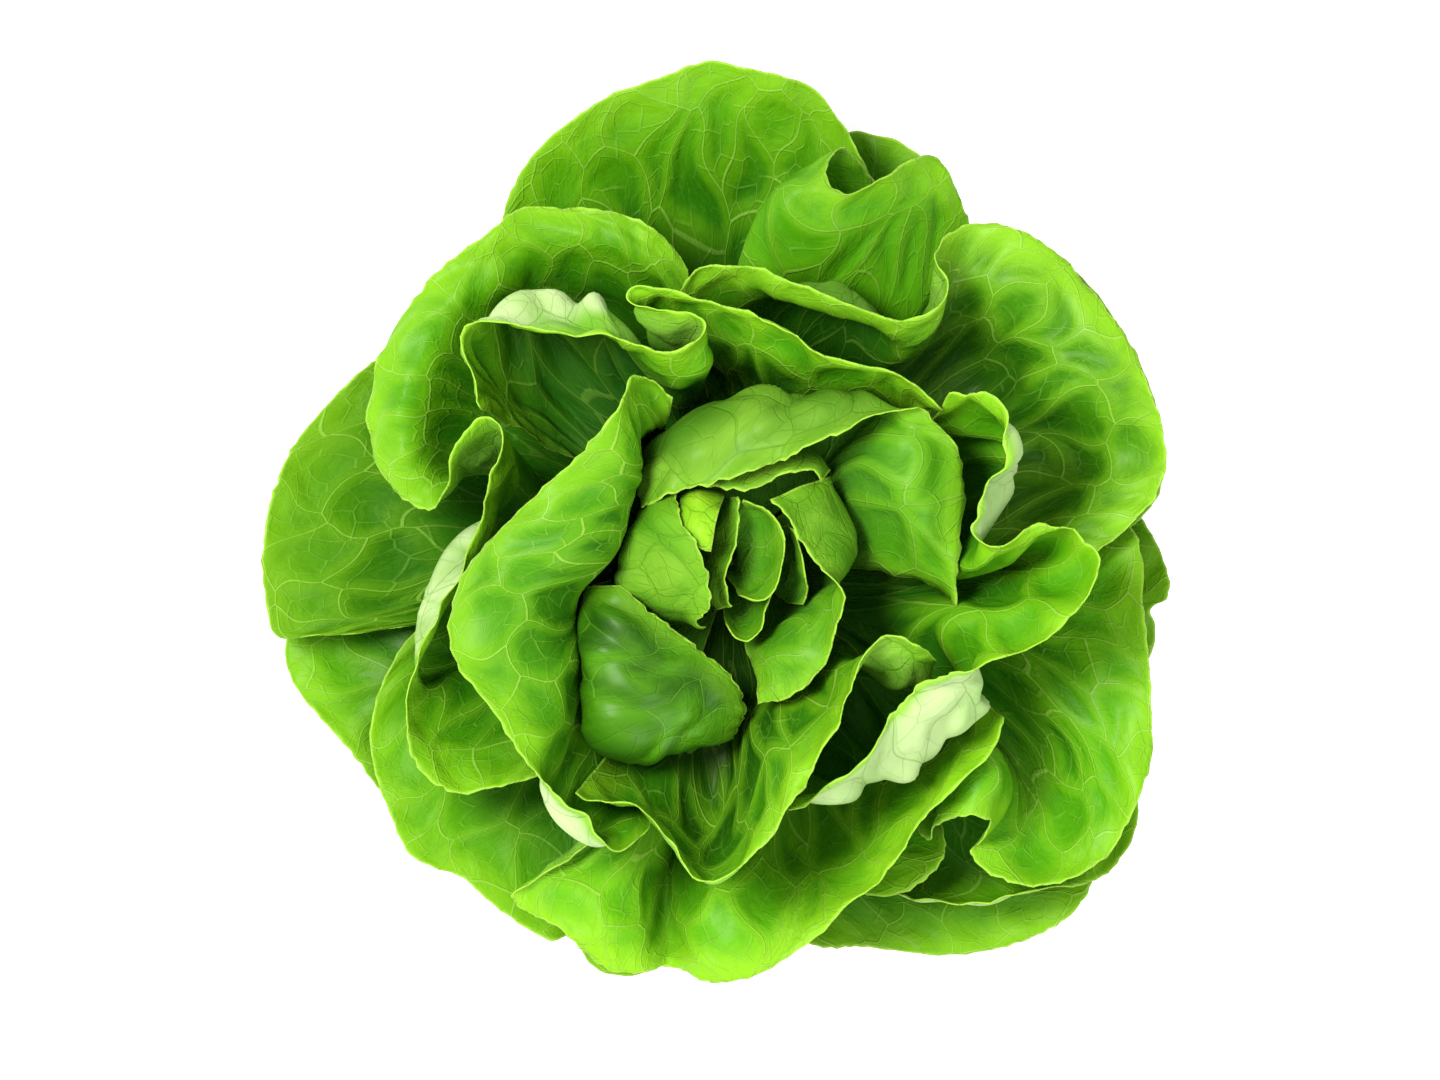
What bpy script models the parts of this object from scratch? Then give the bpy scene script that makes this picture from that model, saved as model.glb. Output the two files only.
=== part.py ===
# A butterhead lettuce: a rosette of cupped leaves round a short stem, cut flat below.
# The origin is the centre of the cut face, +Z runs up the stem. Tables and constants are in millimetres.

import math

import bmesh
import bpy
import numpy as np
from mathutils import Matrix
from mathutils.bvhtree import BVHTree

MM = 0.001

STEM_FOOT_RADIUS = 17.0
STEM_TIP_RADIUS = 5.0
STEM_HEIGHT = 46.2
STEM_CHAMFER = 1.0
STEM_SIDES = 28
SHARP_EDGE = math.radians(40)

FIRST_ROOT_HEIGHT = 3.2
ROOT_STEP = 1.4
ROOT_HALF_ARC = math.radians(38)
TOUCH_GAP = 0.3

BLADE_THICKNESS = 0.8
LEAF_GAP = 0.5
FLOOR_CLEARANCE = 1.2
ROWS = 9
HEART_ROWS = 7
FINE_STEPS = 12
MORE_ROWS = {"middle_leaf_05": 13, "middle_leaf_06": 11, "inner_leaf_02": 10, "inner_leaf_04": 11}
MOST_RIBS_TO_SPLIT = 10
SETTLE_ROUNDS = 40
SMOOTH_ROUNDS = 24
SMOOTHING = 0.2
PUSH_SHARE = 0.6
REACH = 8.0
EDGE_SLOPE = 0.85
SAME_WAY = 0.3
TINY = 1e-6

# Each leaf: azimuth of its midrib, belly (radius, height), ribs from its clockwise margin to its
# counterclockwise one. A rib lists the points it passes after the belly; the last is on the margin.
LEAVES = {
    "outer_leaf_01": (65, (50, 6), [
        [(74, 66, 9)], [(66, 86, 10)], [(61, 102, 12)], [(54.5, 114, 14)],
        [(46, 118, 15)], [(36, 120, 14)], [(22, 112, 12)], [(8, 94, 9)]]),
    "outer_leaf_02": (-62, (50, 7), [
        [(10, -86, 8)], [(16, -105, 9)], [(28, -111.5, 10)], [(38, -110.5, 11)], [(58, -113.5, 12)],
        [(78, -111.5, 13)], [(94, -105, 13)], [(103, -96, 12)], [(104, -82, 11)], [(92, -62, 9)]]),
    "outer_leaf_03": (207, (52, 8), [
        [(-100, 2, 8)], [(-120, -14, 9)], [(-125, -28, 11)], [(-121, -39, 12)], [(-112, -49, 13)],
        [(-104, -58, 13)], [(-97, -68, 12)], [(-84, -76, 10)], [(-66, -74, 8)]]),
    "outer_leaf_04": (-8, (52, 9), [
        [(98, -56, 9)], [(113, -42, 11)], [(120.5, -29, 13)], [(122, -20, 15)], [(119.5, -15, 17)],
        [(126, -12.5, 18)], [(124.5, -2, 17)], [(118.5, 9.5, 16)], [(108, 22, 13)], [(92, 34, 10)]]),
    "outer_leaf_05": (253, (50, 10), [
        [(-54, -82, 9)], [(-47, -99, 11)], [(-41, -111, 13)], [(-37, -117.5, 14)], [(-28, -119.5, 15)],
        [(-19, -117, 15)], [(-8, -112, 13)], [(6, -98, 10)]]),
    "outer_leaf_06": (34, (52, 12), [
        [(96, -6, 12)], [(112, 5, 15)], [(121, 14, 19)], [(124.5, 22, 22)], [(123.5, 36, 24)],
        [(120.5, 47, 24)], [(113, 62, 24)], [(105.5, 73.5, 24)], [(95, 84, 22)], [(80, 88, 18)],
        [(64, 82, 14)]]),
    "outer_leaf_07": (-47, (52, 13), [
        [(36, -80, 18)], [(43, -88, 21), (47, -95, 26)], [(50, -94, 20), (54, -101, 28), (53, -98, 31)],
        [(58, -99, 21), (59.5, -102, 28), (58.5, -98.5, 32)],
        [(68, -99, 21), (68.5, -101.5, 28), (68, -98, 32)],
        [(77, -97, 21), (78, -100, 28), (77, -97, 32)], [(86, -94, 20), (88, -97, 27), (87, -94, 31)],
        [(96, -90, 19), (98, -94, 28)], [(107, -91, 24)], [(113.5, -84, 22)], [(117.5, -73, 20)],
        [(114, -56, 16)], [(98, -38, 12)]]),
    "outer_leaf_08": (180, (52, 14), [
        [(-66, 52, 14)], [(-86, 59, 18)], [(-100, 55, 21)], [(-112, 43, 24)], [(-123, 30, 27)],
        [(-129, 14, 29)], [(-131, -2, 30)], [(-129.5, -14, 29)], [(-127.5, -24, 27)],
        [(-114, -23, 26)], [(-100, -21.5, 23)], [(-82, -19, 19)]]),
    "outer_leaf_09": (228, (52, 15), [
        [(-72, -10, 16)], [(-88, -21, 19)], [(-96, -33, 21)], [(-100, -46, 23)], [(-100.5, -56, 24)],
        [(-96, -70, 25)], [(-90, -84, 25)], [(-83, -88.5, 24)], [(-75, -90, 23)], [(-65, -99.5, 22)],
        [(-54, -107, 21)], [(-46, -109.5, 20)], [(-37, -100, 17)], [(-24, -84, 14)]]),
    "outer_leaf_10": (94, (52, 15), [
        [(34, 62, 16), (46, 98, 24)], [(27, 70, 15), (38, 113, 31)], [(14, 82, 15), (25, 132, 36)],
        [(5, 84, 12), (8, 137, 39)], [(-5, 86, 14), (-6, 139, 40)], [(-12, 84, 13), (-17, 134.5, 39)],
        [(-22, 80, 16), (-33, 130, 38)], [(-31, 74, 15), (-52, 115.5, 34)],
        [(-38, 64, 15), (-63, 97, 28)], [(-40, 52, 14), (-62, 82, 23)]]),
    "middle_leaf_01": (-57, (46, 21), [
        [(18, -84, 22)], [(33, -93, 28)], [(44, -96.5, 33)], [(52, -94.5, 36)], [(59, -89.5, 38)],
        [(62.5, -83, 38)], [(60, -72, 34)], [(62, -58, 28)]]),
    "middle_leaf_02": (-28, (48, 18), [
        [(40, -46, 26), (50, -70, 33)], [(53, -60, 39), (57.5, -82, 40)],
        [(61, -59, 51), (59, -76, 50)], [(69, -57, 58), (65.5, -73, 57)],
        [(77, -56, 55), (73.5, -74, 55)], [(80, -62, 42), (73, -79.5, 46.5)],
        [(82, -64, 34), (66.5, -82, 43)], [(84, -68, 30), (72.5, -89, 44)],
        [(87, -70, 29), (84, -94, 46)], [(92, -66, 29), (98, -92, 46)], [(96, -54, 34), (110, -82, 46)],
        [(96, -46, 40), (118, -66, 47)], [(94, -36, 40), (120.5, -50, 47)],
        [(94, -24, 38), (119.5, -32, 46)], [(94, -12, 37), (117.5, -13, 44)],
        [(92, -2, 36), (118, -2, 42)], [(88, 8, 34), (114.5, 9, 39)], [(72, 18, 28), (98, 20, 32)]]),
    "middle_leaf_03": (62, (48, 20), [
        [(52, 62, 32), (70, 90, 40)], [(50, 72, 38), (66, 101, 44)], [(47, 80, 43), (60, 112.5, 50)],
        [(39, 83, 47), (51, 111.5, 56)], [(32, 84, 50), (42, 104.5, 60)],
        [(22, 84, 52), (33, 100.5, 61)], [(10, 82, 48), (18, 100, 58), (28.5, 105.5, 58)],
        [(4, 84, 42), (13, 101, 52), (32, 114.5, 51)], [(9, 82, 34), (24, 104, 43), (38, 111, 44)],
        [(16, 78, 26), (32, 98, 36), (42.5, 104, 38)], [(19, 70, 20), (40, 94, 29)]]),
    "middle_leaf_04": (168, (44, 24), [
        [(-8, 62, 44), (-10, 80, 52)], [(-14, 66, 42), (-17, 83, 55), (-18, 91, 54)],
        [(-26, 70, 38), (-30, 88, 56), (-32, 97, 53)], [(-40, 72, 33), (-44, 88, 55), (-46, 97.5, 51)],
        [(-50, 72, 34), (-55, 88, 55), (-58, 98, 49)], [(-57, 68, 38), (-63, 83, 57), (-66, 90.5, 54)],
        [(-64, 60, 39), (-74, 75, 57), (-80, 81, 51)], [(-70, 50, 39), (-85, 61, 57), (-93, 65, 49)],
        [(-73, 40, 39), (-91, 42, 57), (-101, 42, 48)], [(-75, 32, 40), (-91, 29, 57), (-99, 27, 49)],
        [(-77, 25, 43), (-86, 18, 58), (-90, 14.5, 52)],
        [(-75, 22, 48), (-80, 11.5, 60)], [(-71, 23, 52), (-76.5, 20, 67)],
        [(-66, 27, 56), (-75, 33, 73)], [(-60, 29, 58), (-68, 38.5, 77)],
        [(-57, 27, 62), (-61.5, 35.5, 79)], [(-60, 20, 66), (-66, 22, 79)],
        [(-72, 8, 56), (-61, 10, 71), (-68, 12, 77)], [(-86, -6, 50), (-68, -3, 69), (-73, -2, 76)],
        [(-88, -21, 50), (-77, -18, 66), (-81, -17, 73)], [(-90, -37, 50), (-82, -32, 62), (-86.5, -32, 69)],
        [(-78, -36, 44), (-91, -47, 62)], [(-74, -44, 40), (-87, -58, 55)],
        [(-67, -48, 37), (-78, -67, 50)], [(-57, -48, 36), (-64, -66.5, 48)],
        [(-46, -46, 34), (-52, -62, 46)]]),
    "middle_leaf_05": (48, (46, 27), [
        [(72, -6, 36), (102, -1, 48)], [(80, 6, 31), (100, 8, 44), (114, 8.5, 50)],
        [(84, 14, 28), (103, 16, 43), (121, 15.5, 51)], [(86, 22, 27), (107, 23, 43), (124, 24, 51)],
        [(88, 30, 27), (108, 31, 43), (123.5, 33, 52)], [(86, 37, 31), (103, 38.5, 47), (121, 41.5, 53)],
        [(82, 41, 39), (96, 43.5, 50), (118.5, 49, 53)],
        [(79, 44, 32), (89, 47, 50), (104, 51, 55), (115.5, 56, 53)],
        [(76, 49, 28), (88.5, 55, 49), (102, 59, 55), (110.5, 64, 53)],
        [(72, 54, 28), (85, 62, 48), (96, 68, 54), (104, 73, 53)],
        [(67, 58, 30), (78, 68, 47), (89, 76, 53), (97, 81.5, 52)],
        [(62, 62, 35), (71, 74, 49), (87, 89.5, 51)], [(60, 68, 44), (76, 93.5, 51)],
        [(58, 70, 49), (66, 92.5, 52)], [(57, 70, 51), (60, 87.5, 58)],
        [(58, 68, 54), (56, 82.5, 64)], [(59, 66, 56), (61.5, 78, 68)], [(58, 60, 58), (60, 70, 70)],
        [(52, 57, 60), (54, 66, 71)], [(44, 70, 54), (43, 60, 64), (45, 66, 72)],
        [(36, 76, 55), (30, 67, 67), (31, 73, 73)], [(24, 78, 55), (16, 71, 68), (16, 78, 73)],
        [(2, 72, 64), (1, 81, 73)], [(-7, 70, 60), (-9, 80.5, 71)], [(-9, 64, 54), (-13, 75, 66)]]),
    "middle_leaf_06": (-88, (44, 28), [
        [(-24, -56, 36), (-35, -79, 48)], [(-28, -66, 37), (-46, -86.5, 50)],
        [(-31, -73, 39), (-58.5, -92, 51)], [(-33, -77.5, 40), (-56, -93, 48), (-61, -96, 46)],
        [(-32, -81, 41), (-50, -95, 47), (-54, -101, 43)],
        [(-30, -84, 42), (-42, -98, 48), (-47.5, -104, 45)],
        [(-27, -86, 42), (-36, -102, 48), (-41, -110, 45)],
        [(-24, -87, 40), (-30, -104, 47), (-33, -117, 45)],
        [(-20, -87, 34), (-23, -104, 42), (-24, -118, 44)],
        [(-16, -86, 22), (-17, -102, 27), (-16.5, -116, 37)],
        [(-12, -86, 29), (-12, -103, 38), (-10.5, -117, 43)],
        [(-7, -87, 37), (-6, -105, 48), (-5.5, -120.5, 47)],
        [(2, -87, 40), (3, -104, 51), (4, -120, 48)],
        [(12, -82, 30), (16, -101, 45), (18, -113.5, 49)],
        [(20, -77, 26), (27.5, -94, 44), (32, -100.5, 53)],
        [(28, -71, 28), (37.5, -85.5, 46), (43, -91.5, 59)],
        [(36, -64, 30), (46.5, -76.5, 49), (51, -82, 62)],
        [(43, -56, 31), (54, -67.5, 51), (58.5, -72.5, 64)],
        [(50, -47, 32), (61.5, -58, 53), (66, -62.5, 64)], [(57, -38, 35), (72, -50, 53), (76.5, -54.5, 63)],
        [(57, -28, 36), (70, -38, 50), (79, -46, 59)]]),
    "inner_leaf_01": (-15, (40, 36), [
        [(12, -54, 54), (19, -72.5, 76)], [(30, -68, 60), (27, -65.5, 82.5)],
        [(40, -66, 60), (33, -61, 85)], [(44, -60, 62), (38, -55.5, 87)],
        [(52, -65.5, 60), (42.5, -49.5, 88)], [(60, -58, 61), (47, -43.5, 89)],
        [(60.5, -49, 64), (51, -39.5, 90)], [(70, -51, 62), (55, -36, 91)],
        [(76, -43, 65), (59.5, -32.5, 92)], [(70.5, -35, 70), (67, -30.5, 92)],
        [(66, -22, 78), (78, -29.5, 90)],
        [(71, -15, 74), (90, -25, 88)], [(79, -9, 66), (100, -15, 86)], [(84, -3, 60), (105, -4, 84)],
        [(86, 2, 62), (102, 4.5, 83)], [(82, 1, 68), (92, 10, 84)], [(76, -3, 74), (83, 7, 87)],
        [(69, -6, 76), (76, 3.5, 89)], [(66, -2, 74), (69.5, 6, 91)], [(74, 8, 72), (68, 10, 92)],
        [(80, 18, 68), (71, 17, 92)], [(83.5, 27, 68), (78, 26, 92)], [(80, 35, 70), (79, 35, 91)],
        [(66, 34, 64), (75.5, 44, 90)], [(58, 34, 60), (69, 47, 88)], [(52, 34, 58), (62, 44.5, 86)]]),
    "inner_leaf_02": (97, (40, 38), [
        [(48, 38, 58), (61, 44, 78)], [(46, 42, 62), (53, 50.5, 82)], [(38, 45, 64), (43, 54.5, 85)],
        [(27, 47, 66), (30, 56, 87)], [(17, 51, 66), (18, 62, 88)], [(8, 56, 66), (10, 67.5, 88)],
        [(0, 60, 68), (0, 70.5, 88)], [(-8, 62, 70), (-11, 72.5, 88)], [(-16, 64, 70), (-19, 76, 88)],
        [(-21, 62, 70), (-26, 74.5, 88)], [(-22, 60, 72), (-27, 70.5, 89)],
        [(-15, 57, 74), (-19, 68, 90)], [(-8, 56, 76), (-11, 67, 91)], [(-4, 53, 79), (-5.5, 65, 93)],
        [(-7, 49, 79), (-8, 60.5, 94)], [(-16, 48, 77), (-17, 57.5, 94)],
        [(-27, 49, 56), (-30, 68, 68), (-28.5, 57.5, 83), (-28.5, 60.5, 93)],
        [(-30, 52, 52), (-36, 76, 68), (-34.5, 61, 82), (-34.5, 61.5, 92)],
        [(-35, 53, 50), (-42, 72, 67), (-40.5, 62, 81), (-40.5, 62.5, 92)],
        [(-43, 55, 48), (-54, 78, 67), (-52.5, 63, 80), (-52, 64, 91)],
        [(-50, 53, 47), (-64, 72.5, 66), (-62, 63.5, 78), (-62, 66.2, 89)],
        [(-53, 46, 46), (-66, 60, 63), (-71, 67, 87)], [(-53, 40, 45), (-68, 54, 63), (-75, 61, 84)],
        [(-50, 34, 45), (-66, 46, 62), (-72, 52, 80)], [(-46, 28, 44), (-62, 37, 60), (-68.5, 40, 74)]]),
    "inner_leaf_03": (186, (38, 42), [
        [(-16, 34, 64), (-14, 44, 80)], [(-19, 36, 70), (-20, 49.5, 86)],
        [(-22, 36, 76), (-27.5, 51.5, 92)], [(-25, 34, 84), (-29, 43, 96)],
        [(-24, 27, 88), (-34, 35, 96)], [(-24.5, 20, 88), (-46, 23.5, 93)],
        [(-27, 8, 86), (-42, 10, 97), (-60, 10, 90)], [(-32, -2, 82), (-50, -3, 94), (-73, -4, 86)],
        [(-42, -11, 78), (-56, -10, 91), (-77.5, -18, 86)],
        [(-46, -22, 78), (-58, -24, 90), (-75.5, -30, 86)], [(-45, -33, 80), (-66, -42, 88)],
        [(-48, -46, 82), (-60, -51, 90)], [(-48, -54, 82), (-56, -58, 91)],
        [(-50, -63, 76), (-54.5, -66, 82), (-50, -64.5, 92)],
        [(-45, -69, 72), (-49.5, -73.5, 78), (-44, -69, 91)],
        [(-38, -72, 68), (-42, -78, 76), (-38, -72, 90)],
        [(-31, -70, 64), (-34.5, -81.5, 80), (-33, -79, 89)], [(-25, -66, 62), (-29, -82, 84)],
        [(-21, -63, 60), (-24, -79.5, 82)], [(-15, -56, 56), (-19, -74, 76)]]),
    "inner_leaf_04": (-82, (36, 44), [
        [(-34, -55, 47), (-41, -64.5, 62), (-42.5, -66.5, 77)],
        [(-29, -59, 46), (-34, -67.5, 62), (-35, -69.5, 80)],
        [(-21, -62, 46), (-24.5, -69.5, 62), (-25, -71.5, 83)],
        [(-14, -64, 48), (-19, -74, 64), (-18.5, -77, 87)],
        [(-9, -68, 47), (-13, -80, 64), (-13, -83.5, 88)], [(-5, -71, 46), (-8, -85, 64), (-8, -90, 89)],
        [(-2, -71, 47), (-3.5, -86, 66), (-3.5, -92.5, 90)], [(1, -69, 50), (2, -81, 70), (3, -89, 90)],
        [(6, -63, 62), (8.5, -73, 78), (9, -82, 91)], [(9, -57, 73), (12.5, -65, 83), (15.5, -75, 91)],
        [(12, -50, 75), (17, -57, 85), (21.5, -66, 92)], [(16, -44, 73), (22, -50, 83), (26.5, -57, 92)],
        [(21, -38, 67), (28, -44, 80), (31.5, -48.5, 93)], [(25, -32, 66), (32.5, -36, 81), (35.5, -38, 94)],
        [(29, -26, 68), (37, -29, 82), (40, -26.5, 95)], [(34, -27, 68), (44, -32, 80), (48, -21.5, 95)],
        [(37, -32, 62), (48, -39, 73), (54, -25, 92)], [(42, -30, 58), (56, -37, 68), (59, -29, 84)]]),
    "heart_leaf_01": (62, (32, 50), [
        [(52, -6, 64), (65, -16, 70)], [(42, 8, 70), (54, 6, 82), (65, 0, 76)],
        [(38, 20, 74), (52, 16, 86), (67, 16, 78)], [(36, 28, 76), (50, 28, 84), (67, 29, 80)],
        [(42, 36, 76), (58, 37.5, 82)], [(44, 41, 77), (53, 42.5, 87)], [(41, 46, 77), (45, 40, 89)],
        [(34, 49, 76), (33, 33, 91)], [(22, 46, 76), (20, 38, 88), (20, 27.5, 90)],
        [(12, 49, 74), (8, 38, 87), (8, 22.5, 89)], [(0, 45, 74), (-2, 34, 86), (-4, 19, 87)],
        [(-12, 40, 72), (-12, 28, 83), (-12, 17, 84)], [(-20, 32, 70), (-19, 22, 79), (-18, 13.5, 80)],
        [(-24, 20, 66), (-22, 12, 74)]]),
    "heart_leaf_02": (232, (30, 48), [
        [(-43, -8, 62), (-36, -7, 71), (-28, -7, 72)], [(-45, -22, 65), (-34, -18, 76), (-20, -14, 73)],
        [(-46, -36, 65), (-32, -31, 79), (-9, -23, 72)], [(-46, -51, 63), (-28, -43, 79), (3, -33, 70)],
        [(-40, -61, 60), (-21, -52, 75), (7, -42, 66)], [(-27, -61, 56), (-11, -54, 68), (4, -50.5, 62)],
        [(-12, -55, 50), (-2, -54, 58)]]),
    "heart_leaf_03": (75, (24, 52), [
        [(30, 24, 66), (27, 20, 78)], [(27, 30, 70), (24.5, 24.5, 82)], [(20, 33, 72), (18, 23.5, 83)],
        [(12, 33, 72), (11, 19.5, 83)], [(4, 30, 72), (4, 17, 82)], [(-4, 27, 70), (-5, 17.5, 80)],
        [(-10, 24, 66), (-9, 18, 76)]]),
    "heart_leaf_04": (0, (24, 52), [
        [(8, -33, 68), (9, -42, 72)], [(11, -30, 72), (16, -41, 76)], [(15, -24, 76), (26, -35, 80)],
        [(20, -17, 78), (31.5, -24, 84)], [(28, -11, 76), (33.5, -13, 86)], [(33, -7, 73), (31, -7, 88)],
        [(38, 0, 70), (25.5, -1, 88)], [(36, 8, 70), (20, 5, 87)], [(33, 16, 70), (16, 10.5, 86)],
        [(31, 23, 68), (12.5, 16, 84)]]),
    "heart_leaf_05": (178, (22, 52), [
        [(-20, 18, 66), (-12, 16, 76)], [(-26, 10, 68), (-19, 10.5, 78), (-10, 10, 81)],
        [(-28, 4, 70), (-18, 5, 81), (-7, 4, 84)], [(-31, -3, 70), (-18, 0, 82), (-4, 0, 86)],
        [(-32, -9, 68), (-18, -8, 81), (-3.2, -8, 85)], [(-27, -13, 65), (-16, -13, 79), (-3, -15.5, 83)],
        [(-19, -17, 62), (-12, -16, 75), (-9, -19, 79)], [(-9, -19, 58), (-5, -20, 70)]]),
    "heart_leaf_06": (110, (14, 52), [
        [(0, 18, 70), (-1, 15, 85), (-4, 8, 91), (-4.5, 1.5, 89)],
        [(-5, 20, 72), (-6, 16, 87), (-8.5, 10, 93), (-10, 3, 91)],
        [(-9, 21, 72), (-10, 17, 87), (-12.5, 11, 93), (-14, 4, 91)],
        [(-14, 20, 70), (-14, 16, 84), (-17, 11, 90), (-18, 5.5, 88)]]),
    "heart_leaf_07": (-25, (16, 54), [
        [(20, -16, 62), (24, -15, 68)], [(22, -12, 66), (26, -11, 74)], [(22, -7, 69), (24.6, -7, 79)],
        [(21, -2, 70), (22, -2, 82)], [(20, 3, 70), (20, 2, 82)], [(18, 9, 68), (18.5, 7, 80)]]),
    "heart_leaf_08": (160, (12, 54), [
        [(-2, 17, 66), (3.5, 17, 76)], [(-3, 11, 70), (4, 10, 79)], [(-4.5, 3, 71), (2.5, 3, 80)],
        [(-4.5, -5, 70), (0.8, -4, 80)], [(-3.5, -11, 68), (1, -10, 78)], [(-1, -15, 64), (3, -13.5, 75)]]),
    "heart_leaf_09": (-75, (12, 56), [
        [(-2, -16, 62), (0, -19, 70)], [(2, -20, 63), (3, -24, 72)], [(5, -20, 64), (6, -25, 73)],
        [(8, -17, 65), (10, -21, 74)], [(11, -12, 66), (12.5, -14, 75)], [(13, -7, 66), (14.5, -8, 76)]]),
    "heart_leaf_10": (20, (5, 56), [
        [(-1, -6, 61), (3, -10, 68), (4, -12, 77)], [(2, -7, 62), (6, -11, 69), (7.6, -13.6, 79)],
        [(4, -6, 63), (10, -9, 69), (12.3, -11.5, 80)], [(4, -3, 64), (12, -4, 69), (15.6, -5, 80)],
        [(4, 1, 64), (12, 1, 69), (16.4, 2, 81)], [(3, 4, 64), (11, 7, 69), (15, 9, 81)],
        [(1, 7, 63), (8, 12, 69), (11, 14.5, 80)], [(-1, 8, 62), (3, 13, 68), (5, 16, 77)]]),
}

STEM_COLOR = (0.80, 0.84, 0.55)
GROUP_COLORS = {
    "outer": (0.16, 0.42, 0.03),
    "middle": (0.22, 0.52, 0.04),
    "inner": (0.32, 0.60, 0.08),
    "heart": (0.45, 0.68, 0.14),
}
LEAF_ROUGHNESS = 0.42
STEM_ROUGHNESS = 0.55


def clear_scene():
    for thing in list(bpy.data.objects):
        bpy.data.objects.remove(thing, do_unlink=True)


def principled(name, color, roughness):
    material = bpy.data.materials.new(name)
    material.use_nodes = True
    shader = material.node_tree.nodes["Principled BSDF"]
    shader.inputs["Base Color"].default_value = (*color, 1.0)
    shader.inputs["Roughness"].default_value = roughness
    shader.inputs["Metallic"].default_value = 0.0
    return material


def around(radius, azimuth, height):
    return np.array([radius * math.cos(azimuth), radius * math.sin(azimuth), height])


def curve_through(points, steps):
    """Points on a centripetal Catmull-Rom curve: every given point, and steps - 1 between each two."""
    given = np.array(points, dtype=float)
    held = np.concatenate([[2 * given[0] - given[1]], given, [2 * given[-1] - given[-2]]])
    result = []
    for a, b, c, d in zip(held, held[1:], held[2:], held[3:]):
        t1 = max(np.linalg.norm(b - a), TINY) ** 0.5
        t2 = t1 + max(np.linalg.norm(c - b), TINY) ** 0.5
        t3 = t2 + max(np.linalg.norm(d - c), TINY) ** 0.5
        for step in range(steps):
            t = t1 + (t2 - t1) * step / steps
            ab = a + (b - a) * t / t1
            bc = b + (c - b) * (t - t1) / (t2 - t1)
            cd = c + (d - c) * (t - t2) / (t3 - t2)
            abc = ab + (bc - ab) * t / t2
            bcd = bc + (cd - bc) * (t - t1) / (t3 - t1)
            result.append(abc + (bcd - abc) * (t - t1) / (t2 - t1))
    result.append(given[-1])
    return np.array(result)


def evenly(points, count):
    """The given number of points, evenly spaced along the smooth curve through the given ones."""
    fine = curve_through(points, FINE_STEPS)
    run = np.concatenate([[0.0], np.cumsum(np.linalg.norm(np.diff(fine, axis=0), axis=1))])
    wanted = np.linspace(0.0, run[-1], count)
    return np.stack([np.interp(wanted, run, fine[:, axis]) for axis in range(3)], axis=1)


def turn_between(start, end):
    return (end - start + math.pi) % (2 * math.pi) - math.pi


def stem_radius(height):
    share = height / STEM_HEIGHT
    return STEM_FOOT_RADIUS + (STEM_TIP_RADIUS - STEM_FOOT_RADIUS) * share


def belly_azimuths(azimuth, ribs):
    """The azimuth at which each rib crosses the leaf's belly, in order, so that no ribs cross there."""
    turns = sorted(turn_between(azimuth, math.atan2(rib[0][1], rib[0][0])) for rib in ribs)
    even = np.linspace(turns[0], turns[-1], len(ribs))
    return azimuth + (np.array(turns) + even) / 2


def leaf_sheet(order, azimuth, belly, ribs, rows):
    """The leaf's middle surface, as an array of ribs, each with its points from the stem to the margin."""
    azimuth = math.radians(azimuth)
    root_height = FIRST_ROOT_HEIGHT + ROOT_STEP * order
    root_radius = stem_radius(root_height) + TOUCH_GAP + BLADE_THICKNESS / 2
    root_azimuths = azimuth + ROOT_HALF_ARC * np.linspace(-1.0, 1.0, len(ribs))
    lines = []
    for rib, root_azimuth, belly_azimuth in zip(ribs, root_azimuths, belly_azimuths(azimuth, ribs)):
        root = around(root_radius, root_azimuth, root_height)
        lines.append(evenly([root, around(belly[0], belly_azimuth, belly[1]), *rib], rows))
    lines = np.array(lines)
    if len(ribs) <= MOST_RIBS_TO_SPLIT and rows == ROWS:
        lines = np.array([curve_through(line, 2) for line in lines.transpose(1, 0, 2)]).transpose(1, 0, 2)
    return lines


def grid_mesh(ribs, rows):
    """A flat grid with a vertex for each point of a sheet, split into triangles."""
    grid = bmesh.new()
    bmesh.ops.create_grid(grid, x_segments=rows - 1, y_segments=ribs - 1, size=1.0)
    bmesh.ops.triangulate(grid, faces=grid.faces[:], quad_method="FIXED")
    return grid


def sheet_pattern(shape):
    """The triangles of a sheet, and the two points between which each probe lies: points and edges."""
    grid = grid_mesh(shape[0], shape[1])
    triangles = [[corner.index for corner in face.verts] for face in grid.faces]
    points = [(vertex.index, vertex.index) for vertex in grid.verts]
    edges = [(edge.verts[0].index, edge.verts[1].index) for edge in grid.edges]
    grid.free()
    return triangles, np.array(points + edges)


def at_probes(flat, ends):
    return (flat[ends[:, 0]] + flat[ends[:, 1]]) / 2


def spread_push(push, ends, shape):
    """The push on each point of a sheet: the mean of the pushes felt there and at the edges' middles."""
    total = np.zeros((shape[0] * shape[1], 3))
    felt = np.zeros(len(total))
    pushed = np.any(push != 0.0, axis=1).astype(float)
    for end in (0, 1):
        np.add.at(total, ends[:, end], push)
        np.add.at(felt, ends[:, end], pushed)
    return (total / np.maximum(felt, 1.0)[:, None]).reshape(shape)


def upper_normals(sheet, ends):
    """Which way the upper face looks at each probe of a sheet."""
    normals = np.cross(np.gradient(sheet, axis=1), np.gradient(sheet, axis=0)).reshape(-1, 3)
    normals = at_probes(normals, ends)
    return normals / np.maximum(np.linalg.norm(normals, axis=1), TINY)[:, None]


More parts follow.
